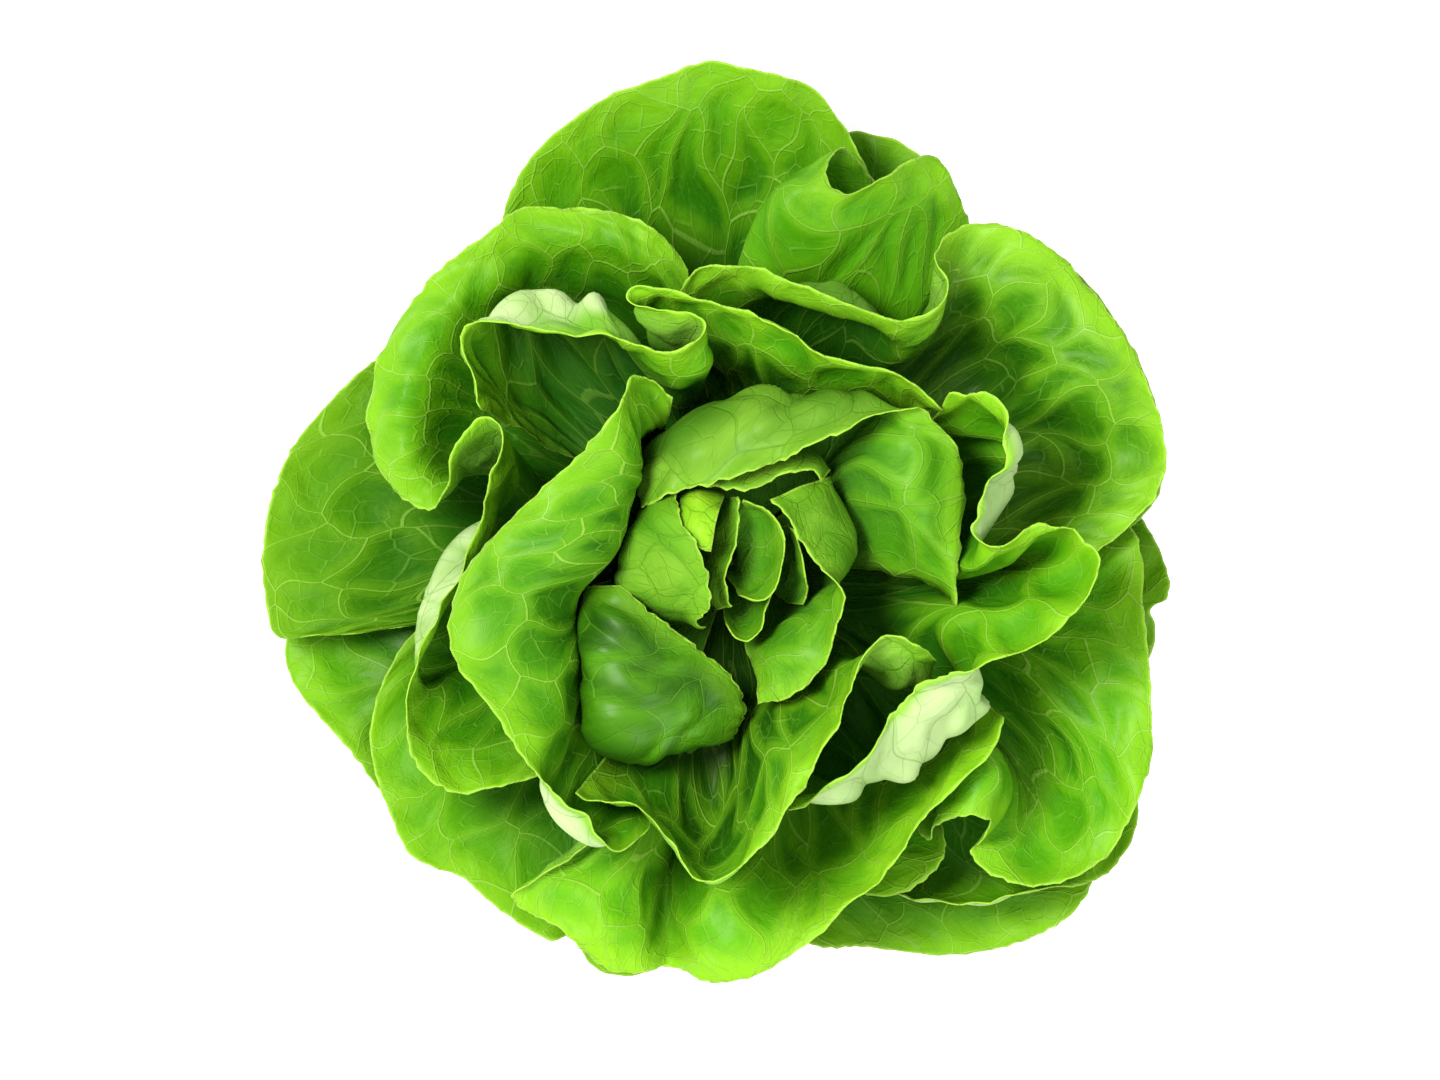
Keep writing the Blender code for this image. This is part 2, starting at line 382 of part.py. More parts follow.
def room_push(tests, normals, tree, order, low, high):
    """How far each probe has to move to be clear of another leaf.

    Where both leaves look the same way, the probe goes to the side that the leaves' order gives.
    Where they look against each other, it stays on the side that it is on.
    """
    room = BLADE_THICKNESS + LEAF_GAP
    push = np.zeros_like(tests)
    near = np.all((tests > low - room) & (tests < high + room), axis=1)
    for index in np.nonzero(near)[0]:
        place, normal, _, distance = tree.find_nearest(tests[index], REACH)
        if place is None:
            continue
        offset = tests[index] - np.array(place)
        normal = np.array(normal)
        depth = float(np.dot(offset, normal))
        if abs(depth) < EDGE_SLOPE * distance:
            if distance < room:
                push[index] = offset / max(distance, TINY) * (room - distance)
            continue
        side = order if np.dot(normals[index], normal) > SAME_WAY else math.copysign(1.0, depth)
        if side * depth < room:
            push[index] = side * normal * (room - side * depth)
    return push


def smoothed(field):
    """Each value moved towards the mean of its neighbours on the sheet."""
    padded = np.pad(field, ((1, 1), (1, 1), (0, 0)), mode="edge")
    mean = (padded[2:, 1:-1] + padded[:-2, 1:-1] + padded[1:-1, 2:] + padded[1:-1, :-2]) / 4
    return field + SMOOTHING * (mean - field)


def softened(sheet):
    """The sheet with its kinks rounded; its root stays on the stem."""
    soft = smoothed(sheet)
    soft[:, 0] = sheet[:, 0]
    return soft


def push_of(own, sheets, ends, trees):
    """The largest push that any other leaf gives each probe of one leaf."""
    tests = at_probes(sheets[own].reshape(-1, 3), ends)
    normals = upper_normals(sheets[own], ends)
    largest = np.zeros_like(tests)
    for other, tree in enumerate(trees):
        if other == own:
            continue
        order = 1.0 if own > other else -1.0
        low, high = sheets[other].min(axis=(0, 1)), sheets[other].max(axis=(0, 1))
        push = room_push(tests, normals, tree, order, low, high)
        larger = np.linalg.norm(push, axis=1) > np.linalg.norm(largest, axis=1)
        largest[larger] = push[larger]
    return largest


def settle(start):
    """Leaves bent clear of each other: each leaf on the upper side of those that come before it."""
    patterns = [sheet_pattern(sheet.shape) for sheet in start]
    shifts = [np.zeros_like(sheet) for sheet in start]
    for turn in range(SETTLE_ROUNDS):
        sheets = [sheet + shift for sheet, shift in zip(start, shifts)]
        trees = [BVHTree.FromPolygons(sheet.reshape(-1, 3).tolist(), triangles)
                 for sheet, (triangles, ends) in zip(sheets, patterns)]
        for own, (triangles, ends) in enumerate(patterns):
            push = push_of(own, sheets, ends, trees)
            shift = shifts[own] + PUSH_SHARE * spread_push(push, ends, start[own].shape)
            if turn < SMOOTH_ROUNDS:
                shift = smoothed(shift)
            shift[:, 0] = 0.0
            shift[:, :, 2] = np.maximum(shift[:, :, 2], FLOOR_CLEARANCE - start[own][:, :, 2])
            shifts[own] = shift
    return [sheet + shift for sheet, shift in zip(start, shifts)]


def leaf_object(name, sheet, material, collection):
    grid = grid_mesh(sheet.shape[0], sheet.shape[1])
    for vertex, place in zip(grid.verts, sheet.reshape(-1, 3) * MM):
        vertex.co = place
    mesh = bpy.data.meshes.new(name)
    grid.to_mesh(mesh)
    grid.free()
    mesh.materials.append(material)
    mesh.shade_smooth()
    leaf = bpy.data.objects.new(name, mesh)
    collection.objects.link(leaf)
    solid = leaf.modifiers.new("blade", "SOLIDIFY")
    solid.thickness = BLADE_THICKNESS * MM
    solid.offset = 0.0
    return leaf


def make_stem(collection):
    """A tapering stem, cut flat at both ends, with a small chamfer round each end."""
    shape = bmesh.new()
    middle = Matrix.Translation((0.0, 0.0, STEM_HEIGHT / 2 * MM))
    bmesh.ops.create_cone(shape, cap_ends=True, segments=STEM_SIDES, radius1=STEM_FOOT_RADIUS * MM,
                          radius2=STEM_TIP_RADIUS * MM, depth=STEM_HEIGHT * MM, matrix=middle)
    mesh = bpy.data.meshes.new("stem")
    shape.to_mesh(mesh)
    shape.free()
    mesh.materials.append(principled("stem", STEM_COLOR, STEM_ROUGHNESS))
    stem = bpy.data.objects.new("stem", mesh)
    collection.objects.link(stem)
    chamfer = stem.modifiers.new("chamfer", "BEVEL")
    chamfer.width = STEM_CHAMFER * MM
    chamfer.segments = 1
    chamfer.limit_method = "ANGLE"
    chamfer.angle_limit = SHARP_EDGE


def build_sheets():
    sheets = []
    for order, (name, (azimuth, belly, ribs)) in enumerate(LEAVES.items()):
        rows = MORE_ROWS.get(name, HEART_ROWS if name.startswith("heart") else ROWS)
        sheets.append(leaf_sheet(order, azimuth, belly, ribs, rows))
    return settle([softened(sheet) for sheet in sheets])


def main():
    clear_scene()
    collection = bpy.data.collections.new("lettuce_head")
    bpy.context.scene.collection.children.link(collection)
    make_stem(collection)
    materials = {group: principled(group + "_leaf", color, LEAF_ROUGHNESS)
                 for group, color in GROUP_COLORS.items()}
    for name, sheet in zip(LEAVES, build_sheets()):
        leaf_object(name, sheet, materials[name.split("_")[0]], collection)


main()
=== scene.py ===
import math

import bmesh
import bpy
import numpy as np
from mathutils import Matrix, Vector
from mathutils.bvhtree import BVHTree


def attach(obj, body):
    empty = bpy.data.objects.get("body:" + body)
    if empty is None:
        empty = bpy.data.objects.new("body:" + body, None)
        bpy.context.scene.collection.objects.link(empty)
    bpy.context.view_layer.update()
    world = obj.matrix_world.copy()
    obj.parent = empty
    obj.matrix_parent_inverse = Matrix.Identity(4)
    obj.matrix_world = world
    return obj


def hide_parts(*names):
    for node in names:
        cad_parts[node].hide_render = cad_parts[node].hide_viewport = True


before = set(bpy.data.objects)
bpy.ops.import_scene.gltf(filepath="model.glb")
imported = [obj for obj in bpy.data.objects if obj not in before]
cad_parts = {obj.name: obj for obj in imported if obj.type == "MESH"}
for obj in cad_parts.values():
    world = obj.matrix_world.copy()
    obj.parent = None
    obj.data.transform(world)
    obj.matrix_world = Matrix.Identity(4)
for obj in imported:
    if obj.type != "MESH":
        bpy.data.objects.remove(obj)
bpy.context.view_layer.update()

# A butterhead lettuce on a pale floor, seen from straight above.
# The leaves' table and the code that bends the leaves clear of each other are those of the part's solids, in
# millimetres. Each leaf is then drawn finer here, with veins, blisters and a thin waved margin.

MM = 0.001
TINY = 1e-6
TURN = 2 * math.pi

# The stem, with its rounded cut edge, the scars of lost leaves and low ridges.
STEM_FOOT_RADIUS = 17.0
STEM_TIP_RADIUS = 5.0
STEM_HEIGHT = 46.2
STEM_CHAMFER = 1.0
STEM_RINGS = 44
STEM_SIDES = 96
RINGS_CROWDING = 1.4
CHAMFER_SHARE = 0.6
CUT_FACE_SHARES = [0.0, 0.5, 0.93]
TIP_SHARES = [0.5, 0.0]
SCAR_DEPTH = 0.35
SCAR_PITCH = 0.42
RIDGE_DEPTH = 0.2
RIDGES = 5
RIDGE_PITCH = 0.3
WELD = 0.00001

# The leaves' middle surfaces, as in the solids.
FIRST_ROOT_HEIGHT = 3.2
ROOT_STEP = 1.4
ROOT_HALF_ARC = math.radians(38)
TOUCH_GAP = 0.3
BLADE_THICKNESS = 0.8
LEAF_GAP = 0.5
FLOOR_CLEARANCE = 1.2
ROWS = 9
HEART_ROWS = 7
MORE_ROWS = {"middle_leaf_05": 13, "middle_leaf_06": 11, "inner_leaf_02": 10, "inner_leaf_04": 11}
FINE_STEPS = 12
MOST_RIBS_TO_SPLIT = 10
SETTLE_ROUNDS = 40
SMOOTH_ROUNDS = 24
SMOOTHING = 0.2
PUSH_SHARE = 0.6
REACH = 8.0
EDGE_SLOPE = 0.85
SAME_WAY = 0.3

# The fine leaves: their grid, their thickness, and the relief that fades in above their roots.
FINE_CELL = 1.5
LENGTH_PERCENTILE = 75
RELAX_ROUNDS = 12
BLADE_MIDDLE = 0.55
BLADE_MARGIN = 0.32
THIN_WITHIN = 4.0
MIDRIB_BASE_WIDTH = 6.0
MIDRIB_LEAST_SHARE = 0.08
MIDRIB_REACH = 0.85
MIDRIB_DEPTH = 2.2
RELIEF_FROM = 0.12
RELIEF_FADE = 0.3
GROOVE_WIDTH = 4.5
SWELL_HEIGHT = 0.8
SWELL_LENGTH = 34.0
RUFFLE_HEIGHT = 0.7
RUFFLE_LENGTH = 13.0
RUFFLE_REACH = 6.0
RUFFLE_SEED = 50
NOTCH_LENGTH = 4.5
NOTCH_REACH = 2.0
NOTCH_SEED = 90
WAVE_COUNT = 4
WAVE_LENGTHS = (0.75, 1.5)
WAVE_SUM = 2.5
FREE_ROOM = 8.0
VISUAL_GAP = 0.2
LEAST_RELIEF = 0.1

# The rays that tell how much of the sky a point sees, by which the leaves' colours get painted shade.
SKY_RAYS = 40
SKY_SPREAD = 0.95
SKY_START = 1.2
SKY_REACH = 90.0
GOLDEN_ANGLE = math.pi * (3.0 - math.sqrt(5.0))

# The plan of veins, and the material's veins, blisters and patches.
VEIN_WIDTH_AT_MARGIN = 15.0
VEIN_LENGTH_AT_MARGIN = 13.0
VEIN_LENGTHENING = 0.42
VEIN_MOST_LENGTH = 38.0
VEIN_LEAST_SPREAD = 0.15
VEIN_LONGEST_CELL = 1.3
PLAN_STEP = 17.3
PLAN_START = 40.0
CELL_RANDOMNESS = 0.9
FINE_VEIN_SCALE = 2.9
FINE_VEIN_WIDTH = 0.3
PATCH_SCALE = 0.8
SPECK_SCALE = 12.0
EDGE_WANDER = 1.6
SKY_WANDER = 0.25
BUMP_HEIGHT = 0.0008
LEAF_IOR = 1.42
LEAF_SPECULAR = 0.3
LEAF_COAT = 0.06
COAT_ROUGHNESS = 0.3

PHOTO_SCALE = 0.28
PHOTO_WIDTH = 1440
PHOTO_CENTRE = (-1.4, 4.2)
CAMERA_HEIGHT = 5000.0
CAMERA_CLIP = 50.0
FOCUS_HEIGHT = 40.0
SENSOR_WIDTH = 36.0

FLOOR_DROP = 0.2
FLOOR_REACH = 12.0
FLOOR_GLOW = 0.45
FLOOR_ROUGHNESS = 0.8
LIGHT_TARGET = (0.0, 0.0, 0.05)
LIGHTS = [
    ("key_light", (-0.65, 0.3, 1.45), 0.6, 46.0, (1.0, 1.0, 0.98)),
    ("low_light", (0.5, -1.0, 1.1), 0.8, 18.0, (1.0, 1.0, 1.0)),
]
SURROUND_COLOR = (1.0, 1.0, 1.0, 1.0)
SURROUND_STRENGTH = 1.02

# How the leaves of each kind look. The darkest green is painted shade where a point sees little of the sky,
# and in part the leaf's own darker inside away from its margin. The light green is in part the leaf's paler
# margin and in part painted
# light. Lengths are in millimetres: how far the light margin reaches in, how high the cells between veins
# are puffed (down, where negative) and how far in the margin is notched.
LOOKS = {
    "outer": {
        "shade_and_dark_green": (0.008, 0.085, 0.001), "body": (0.054, 0.215, 0.001), "light": (0.13, 0.32, 0.005),
        "vein": (0.22, 0.42, 0.05), "under": (0.07, 0.24, 0.010), "under_light": (0.12, 0.30, 0.025),
        "through": (0.17, 0.55, 0.004), "through_share": 0.20,
        "edge_reach": 14.0, "cell": 1.05, "puff": -1.2, "notch": 0.3},
    "middle": {
        "shade_and_dark_green": (0.008, 0.085, 0.001), "body": (0.052, 0.235, 0.002), "light": (0.155, 0.37, 0.007),
        "vein": (0.23, 0.42, 0.05), "under": (0.10, 0.28, 0.014), "under_light": (0.16, 0.34, 0.035),
        "through": (0.18, 0.55, 0.004), "through_share": 0.20,
        "edge_reach": 14.0, "cell": 1.0, "puff": -1.5, "notch": 0.4},
    "inner": {
        "shade_and_dark_green": (0.016, 0.110, 0.003), "body": (0.052, 0.235, 0.002), "light": (0.17, 0.39, 0.007),
        "vein": (0.24, 0.43, 0.05), "under": (0.10, 0.29, 0.012), "under_light": (0.17, 0.36, 0.035),
        "through": (0.22, 0.58, 0.006), "through_share": 0.20,
        "edge_reach": 13.0, "cell": 1.0, "puff": -1.5, "notch": 0.5},
    "heart": {
        "shade_and_dark_green": (0.042, 0.165, 0.010), "body": (0.045, 0.190, 0.003), "light": (0.13, 0.32, 0.009),
        "vein": (0.15, 0.30, 0.04), "under": (0.055, 0.190, 0.006), "under_light": (0.12, 0.27, 0.015),
        "through": (0.24, 0.60, 0.010), "through_share": 0.15,
        "edge_reach": 9.0, "cell": 0.9, "puff": -1.3, "notch": 0.65},
}
# What single leaves change; "pale" has the spots (x, y, radius) where the underside is whitish.
LEAF_LOOKS = {
    "heart_leaf_02": {
        "under": (0.004, 0.040, 0.001), "under_light": (0.040, 0.155, 0.001), "puff": -1.6,
        "through_share": 0.04, "shine": 0.1, "under_vein": (0.07, 0.22, 0.006), "rib": (0.035, 0.15, 0.002)},
    "heart_leaf_01": {
        "puff": -2.0, "cell": 1.25, "under": (0.045, 0.145, 0.007), "under_light": (0.12, 0.26, 0.018)},
    "inner_leaf_01": {
        "puff": -3.4, "cell": 1.3, "whitish": ((0.25, 0.40, 0.13), (0.43, 0.55, 0.25)),
        "pale": [(36, -57, 24), (58, -40, 22), (20, -70, 16), (79, 27, 12), (74, 12, 11)]},
    # Darker green and darkest green: painted shade for the pocket inside this leaf.
    "inner_leaf_02": {
        "puff": -2.6, "body": (0.042, 0.200, 0.002), "shade_and_dark_green": (0.006, 0.060, 0.003),
        "pale": [(-60, 72, 12), (-46, 75, 11), (-36, 74, 7), (26, 74, 11), (40, 66, 9)]},
    "inner_leaf_03": {
        "body": (0.038, 0.180, 0.002), "light": (0.125, 0.32, 0.005), "shade_and_dark_green": (0.007, 0.075, 0.001),
        "pale": [(-50, -66, 13), (-40, -76, 13), (-34, -82, 10), (-58, -52, 8)]},
    # Darker green and darkest green: painted shade for this leaf's upper face, which lies in shade.
    "inner_leaf_04": {"body": (0.026, 0.145, 0.002), "shade_and_dark_green": (0.003, 0.034, 0.001)},
    "outer_leaf_07": {"pale": [(52, -99, 7), (60, -101, 7), (69, -100, 8), (78, -99, 8), (88, -96, 7)]},
    # A darker green: painted shade, for the left of the head, on which the key light falls strongly.
    "outer_leaf_08": {"body": (0.044, 0.165, 0.001), "light": (0.10, 0.25, 0.003)},
    "middle_leaf_03": {
        "shade_and_dark_green": (0.08, 0.31, 0.004), "through_share": 0.36, "under": (0.065, 0.21, 0.008),
        "under_light": (0.10, 0.26, 0.016)},
    "middle_leaf_04": {"body": (0.047, 0.205, 0.001), "pale": [(-72, 9, 9), (-80, -5, 10), (-84, -20, 9)]},
    "middle_leaf_05": {
        "body": (0.035, 0.155, 0.002), "shade_and_dark_green": (0.005, 0.056, 0.001), "light": (0.17, 0.39, 0.010)},
    # A lighter green: painted light, for the bottom of the head, which the key light leaves dimmer.
    "middle_leaf_06": {"body": (0.072, 0.280, 0.003), "light": (0.19, 0.42, 0.009)},
    "heart_leaf_06": {"under": (0.14, 0.34, 0.006), "under_light": (0.22, 0.42, 0.012)},
}
PALE = ((0.24, 0.37, 0.11), (0.38, 0.50, 0.22))
PALE_RIB = (0.30, 0.42, 0.15)
# The thin light rim line's colour: in part the leaf's pale edge, in part a painted glow of light through it.
RIM_AND_GLOW_COLOR = (0.30, 0.50, 0.05)
SHINE_TINT = (0.8, 1.0, 0.3, 1.0)
STEM_TIP_COLOR = (0.015, 0.08, 0.004)
STEM_GREEN_FROM = 0.022
STEM_GREEN_TO = 0.036
STEM_SKIN = (0.30, 0.38, 0.15)
STEM_SKIN_LIGHT = (0.40, 0.45, 0.24)
CUT_FACE = (0.46, 0.47, 0.33)
CUT_RING = (0.29, 0.33, 0.14)
CUT_BROWN = (0.26, 0.15, 0.06)
FLOOR_COLOR = (0.88, 0.88, 0.88)
FLOOR_COLOR_LIGHT = (0.90, 0.90, 0.90)

# Each leaf: azimuth of its midrib, belly (radius, height), ribs from its clockwise margin to its
# counterclockwise one. A rib has x, y and z of each point that it passes after the belly; its last point is
# on the margin.
LEAVES = {
    "outer_leaf_01": (65, (50, 6), [
        (74, 66, 9), (66, 86, 10), (61, 102, 12), (54.5, 114, 14), (46, 118, 15), (36, 120, 14),
        (22, 112, 12), (8, 94, 9)]),
    "outer_leaf_02": (-62, (50, 7), [
        (10, -86, 8), (16, -105, 9), (28, -111.5, 10), (38, -110.5, 11), (58, -113.5, 12), (78, -111.5, 13),
        (94, -105, 13), (103, -96, 12), (104, -82, 11), (92, -62, 9)]),
    "outer_leaf_03": (207, (52, 8), [
        (-100, 2, 8), (-120, -14, 9), (-125, -28, 11), (-121, -39, 12), (-112, -49, 13), (-104, -58, 13),
        (-97, -68, 12), (-84, -76, 10), (-66, -74, 8)]),
    "outer_leaf_04": (-8, (52, 9), [
        (98, -56, 9), (113, -42, 11), (120.5, -29, 13), (122, -20, 15), (119.5, -15, 17), (126, -12.5, 18),
        (124.5, -2, 17), (118.5, 9.5, 16), (108, 22, 13), (92, 34, 10)]),
    "outer_leaf_05": (253, (50, 10), [
        (-54, -82, 9), (-47, -99, 11), (-41, -111, 13), (-37, -117.5, 14), (-28, -119.5, 15),
        (-19, -117, 15), (-8, -112, 13), (6, -98, 10)]),
    "outer_leaf_06": (34, (52, 12), [
        (96, -6, 12), (112, 5, 15), (121, 14, 19), (124.5, 22, 22), (123.5, 36, 24), (120.5, 47, 24),
        (113, 62, 24), (105.5, 73.5, 24), (95, 84, 22), (80, 88, 18), (64, 82, 14)]),
    "outer_leaf_07": (-47, (52, 13), [
        (36, -80, 18), (43, -88, 21, 47, -95, 26), (50, -94, 20, 54, -101, 28, 53, -98, 31),
        (58, -99, 21, 59.5, -102, 28, 58.5, -98.5, 32), (68, -99, 21, 68.5, -101.5, 28, 68, -98, 32),
        (77, -97, 21, 78, -100, 28, 77, -97, 32), (86, -94, 20, 88, -97, 27, 87, -94, 31),
        (96, -90, 19, 98, -94, 28), (107, -91, 24), (113.5, -84, 22), (117.5, -73, 20), (114, -56, 16),
        (98, -38, 12)]),
    "outer_leaf_08": (180, (52, 14), [
        (-66, 52, 14), (-86, 59, 18), (-100, 55, 21), (-112, 43, 24), (-123, 30, 27), (-129, 14, 29),
        (-131, -2, 30), (-129.5, -14, 29), (-127.5, -24, 27), (-114, -23, 26), (-100, -21.5, 23),
        (-82, -19, 19)]),
    "outer_leaf_09": (228, (52, 15), [
        (-72, -10, 16), (-88, -21, 19), (-96, -33, 21), (-100, -46, 23), (-100.5, -56, 24), (-96, -70, 25),
        (-90, -84, 25), (-83, -88.5, 24), (-75, -90, 23), (-65, -99.5, 22), (-54, -107, 21),
        (-46, -109.5, 20), (-37, -100, 17), (-24, -84, 14)]),
    "outer_leaf_10": (94, (52, 15), [
        (34, 62, 16, 46, 98, 24), (27, 70, 15, 38, 113, 31), (14, 82, 15, 25, 132, 36),
        (5, 84, 12, 8, 137, 39), (-5, 86, 14, -6, 139, 40), (-12, 84, 13, -17, 134.5, 39),
        (-22, 80, 16, -33, 130, 38), (-31, 74, 15, -52, 115.5, 34), (-38, 64, 15, -63, 97, 28),
        (-40, 52, 14, -62, 82, 23)]),
    "middle_leaf_01": (-57, (46, 21), [
        (18, -84, 22), (33, -93, 28), (44, -96.5, 33), (52, -94.5, 36), (59, -89.5, 38), (62.5, -83, 38),
        (60, -72, 34), (62, -58, 28)]),
    "middle_leaf_02": (-28, (48, 18), [
        (40, -46, 26, 50, -70, 33), (53, -60, 39, 57.5, -82, 40), (61, -59, 51, 59, -76, 50),
        (69, -57, 58, 65.5, -73, 57), (77, -56, 55, 73.5, -74, 55), (80, -62, 42, 73, -79.5, 46.5),
        (82, -64, 34, 66.5, -82, 43), (84, -68, 30, 72.5, -89, 44), (87, -70, 29, 84, -94, 46),
        (92, -66, 29, 98, -92, 46), (96, -54, 34, 110, -82, 46), (96, -46, 40, 118, -66, 47),
        (94, -36, 40, 120.5, -50, 47), (94, -24, 38, 119.5, -32, 46), (94, -12, 37, 117.5, -13, 44),
        (92, -2, 36, 118, -2, 42), (88, 8, 34, 114.5, 9, 39), (72, 18, 28, 98, 20, 32)]),
    "middle_leaf_03": (62, (48, 20), [
        (52, 62, 32, 70, 90, 40), (50, 72, 38, 66, 101, 44), (47, 80, 43, 60, 112.5, 50),
        (39, 83, 47, 51, 111.5, 56), (32, 84, 50, 42, 104.5, 60), (22, 84, 52, 33, 100.5, 61),
        (10, 82, 48, 18, 100, 58, 28.5, 105.5, 58), (4, 84, 42, 13, 101, 52, 32, 114.5, 51),
        (9, 82, 34, 24, 104, 43, 38, 111, 44), (16, 78, 26, 32, 98, 36, 42.5, 104, 38),
        (19, 70, 20, 40, 94, 29)]),
    "middle_leaf_04": (168, (44, 24), [
        (-8, 62, 44, -10, 80, 52), (-14, 66, 42, -17, 83, 55, -18, 91, 54),
        (-26, 70, 38, -30, 88, 56, -32, 97, 53), (-40, 72, 33, -44, 88, 55, -46, 97.5, 51),
        (-50, 72, 34, -55, 88, 55, -58, 98, 49), (-57, 68, 38, -63, 83, 57, -66, 90.5, 54),
        (-64, 60, 39, -74, 75, 57, -80, 81, 51), (-70, 50, 39, -85, 61, 57, -93, 65, 49),
        (-73, 40, 39, -91, 42, 57, -101, 42, 48), (-75, 32, 40, -91, 29, 57, -99, 27, 49),
        (-77, 25, 43, -86, 18, 58, -90, 14.5, 52), (-75, 22, 48, -80, 11.5, 60),
        (-71, 23, 52, -76.5, 20, 67), (-66, 27, 56, -75, 33, 73), (-60, 29, 58, -68, 38.5, 77),
        (-57, 27, 62, -61.5, 35.5, 79), (-60, 20, 66, -66, 22, 79), (-72, 8, 56, -61, 10, 71, -68, 12, 77),
        (-86, -6, 50, -68, -3, 69, -73, -2, 76), (-88, -21, 50, -77, -18, 66, -81, -17, 73),
        (-90, -37, 50, -82, -32, 62, -86.5, -32, 69), (-78, -36, 44, -91, -47, 62),
        (-74, -44, 40, -87, -58, 55), (-67, -48, 37, -78, -67, 50), (-57, -48, 36, -64, -66.5, 48),
        (-46, -46, 34, -52, -62, 46)]),
    "middle_leaf_05": (48, (46, 27), [
        (72, -6, 36, 102, -1, 48), (80, 6, 31, 100, 8, 44, 114, 8.5, 50),
        (84, 14, 28, 103, 16, 43, 121, 15.5, 51), (86, 22, 27, 107, 23, 43, 124, 24, 51),
        (88, 30, 27, 108, 31, 43, 123.5, 33, 52), (86, 37, 31, 103, 38.5, 47, 121, 41.5, 53),
        (82, 41, 39, 96, 43.5, 50, 118.5, 49, 53), (79, 44, 32, 89, 47, 50, 104, 51, 55, 115.5, 56, 53),
        (76, 49, 28, 88.5, 55, 49, 102, 59, 55, 110.5, 64, 53),
        (72, 54, 28, 85, 62, 48, 96, 68, 54, 104, 73, 53),
        (67, 58, 30, 78, 68, 47, 89, 76, 53, 97, 81.5, 52), (62, 62, 35, 71, 74, 49, 87, 89.5, 51),
        (60, 68, 44, 76, 93.5, 51), (58, 70, 49, 66, 92.5, 52), (57, 70, 51, 60, 87.5, 58),
        (58, 68, 54, 56, 82.5, 64), (59, 66, 56, 61.5, 78, 68), (58, 60, 58, 60, 70, 70),
        (52, 57, 60, 54, 66, 71), (44, 70, 54, 43, 60, 64, 45, 66, 72), (36, 76, 55, 30, 67, 67, 31, 73, 73),
        (24, 78, 55, 16, 71, 68, 16, 78, 73), (2, 72, 64, 1, 81, 73), (-7, 70, 60, -9, 80.5, 71),
        (-9, 64, 54, -13, 75, 66)]),
    "middle_leaf_06": (-88, (44, 28), [
        (-24, -56, 36, -35, -79, 48), (-28, -66, 37, -46, -86.5, 50), (-31, -73, 39, -58.5, -92, 51),
        (-33, -77.5, 40, -56, -93, 48, -61, -96, 46), (-32, -81, 41, -50, -95, 47, -54, -101, 43),
        (-30, -84, 42, -42, -98, 48, -47.5, -104, 45), (-27, -86, 42, -36, -102, 48, -41, -110, 45),
        (-24, -87, 40, -30, -104, 47, -33, -117, 45), (-20, -87, 34, -23, -104, 42, -24, -118, 44),
        (-16, -86, 22, -17, -102, 27, -16.5, -116, 37), (-12, -86, 29, -12, -103, 38, -10.5, -117, 43),
        (-7, -87, 37, -6, -105, 48, -5.5, -120.5, 47), (2, -87, 40, 3, -104, 51, 4, -120, 48),
        (12, -82, 30, 16, -101, 45, 18, -113.5, 49), (20, -77, 26, 27.5, -94, 44, 32, -100.5, 53),
        (28, -71, 28, 37.5, -85.5, 46, 43, -91.5, 59), (36, -64, 30, 46.5, -76.5, 49, 51, -82, 62),
        (43, -56, 31, 54, -67.5, 51, 58.5, -72.5, 64), (50, -47, 32, 61.5, -58, 53, 66, -62.5, 64),
        (57, -38, 35, 72, -50, 53, 76.5, -54.5, 63), (57, -28, 36, 70, -38, 50, 79, -46, 59)]),
    "inner_leaf_01": (-15, (40, 36), [
        (12, -54, 54, 19, -72.5, 76), (30, -68, 60, 27, -65.5, 82.5), (40, -66, 60, 33, -61, 85),
        (44, -60, 62, 38, -55.5, 87), (52, -65.5, 60, 42.5, -49.5, 88), (60, -58, 61, 47, -43.5, 89),
        (60.5, -49, 64, 51, -39.5, 90), (70, -51, 62, 55, -36, 91), (76, -43, 65, 59.5, -32.5, 92),
        (70.5, -35, 70, 67, -30.5, 92), (66, -22, 78, 78, -29.5, 90), (71, -15, 74, 90, -25, 88),
        (79, -9, 66, 100, -15, 86), (84, -3, 60, 105, -4, 84), (86, 2, 62, 102, 4.5, 83),
        (82, 1, 68, 92, 10, 84), (76, -3, 74, 83, 7, 87), (69, -6, 76, 76, 3.5, 89),
        (66, -2, 74, 69.5, 6, 91), (74, 8, 72, 68, 10, 92), (80, 18, 68, 71, 17, 92),
        (83.5, 27, 68, 78, 26, 92), (80, 35, 70, 79, 35, 91), (66, 34, 64, 75.5, 44, 90),
        (58, 34, 60, 69, 47, 88), (52, 34, 58, 62, 44.5, 86)]),
    "inner_leaf_02": (97, (40, 38), [
        (48, 38, 58, 61, 44, 78), (46, 42, 62, 53, 50.5, 82), (38, 45, 64, 43, 54.5, 85),
        (27, 47, 66, 30, 56, 87), (17, 51, 66, 18, 62, 88), (8, 56, 66, 10, 67.5, 88),
        (0, 60, 68, 0, 70.5, 88), (-8, 62, 70, -11, 72.5, 88), (-16, 64, 70, -19, 76, 88),
        (-21, 62, 70, -26, 74.5, 88), (-22, 60, 72, -27, 70.5, 89), (-15, 57, 74, -19, 68, 90),
        (-8, 56, 76, -11, 67, 91), (-4, 53, 79, -5.5, 65, 93), (-7, 49, 79, -8, 60.5, 94),
        (-16, 48, 77, -17, 57.5, 94), (-27, 49, 56, -30, 68, 68, -28.5, 57.5, 83, -28.5, 60.5, 93),
        (-30, 52, 52, -36, 76, 68, -34.5, 61, 82, -34.5, 61.5, 92),
        (-35, 53, 50, -42, 72, 67, -40.5, 62, 81, -40.5, 62.5, 92),
        (-43, 55, 48, -54, 78, 67, -52.5, 63, 80, -52, 64, 91),
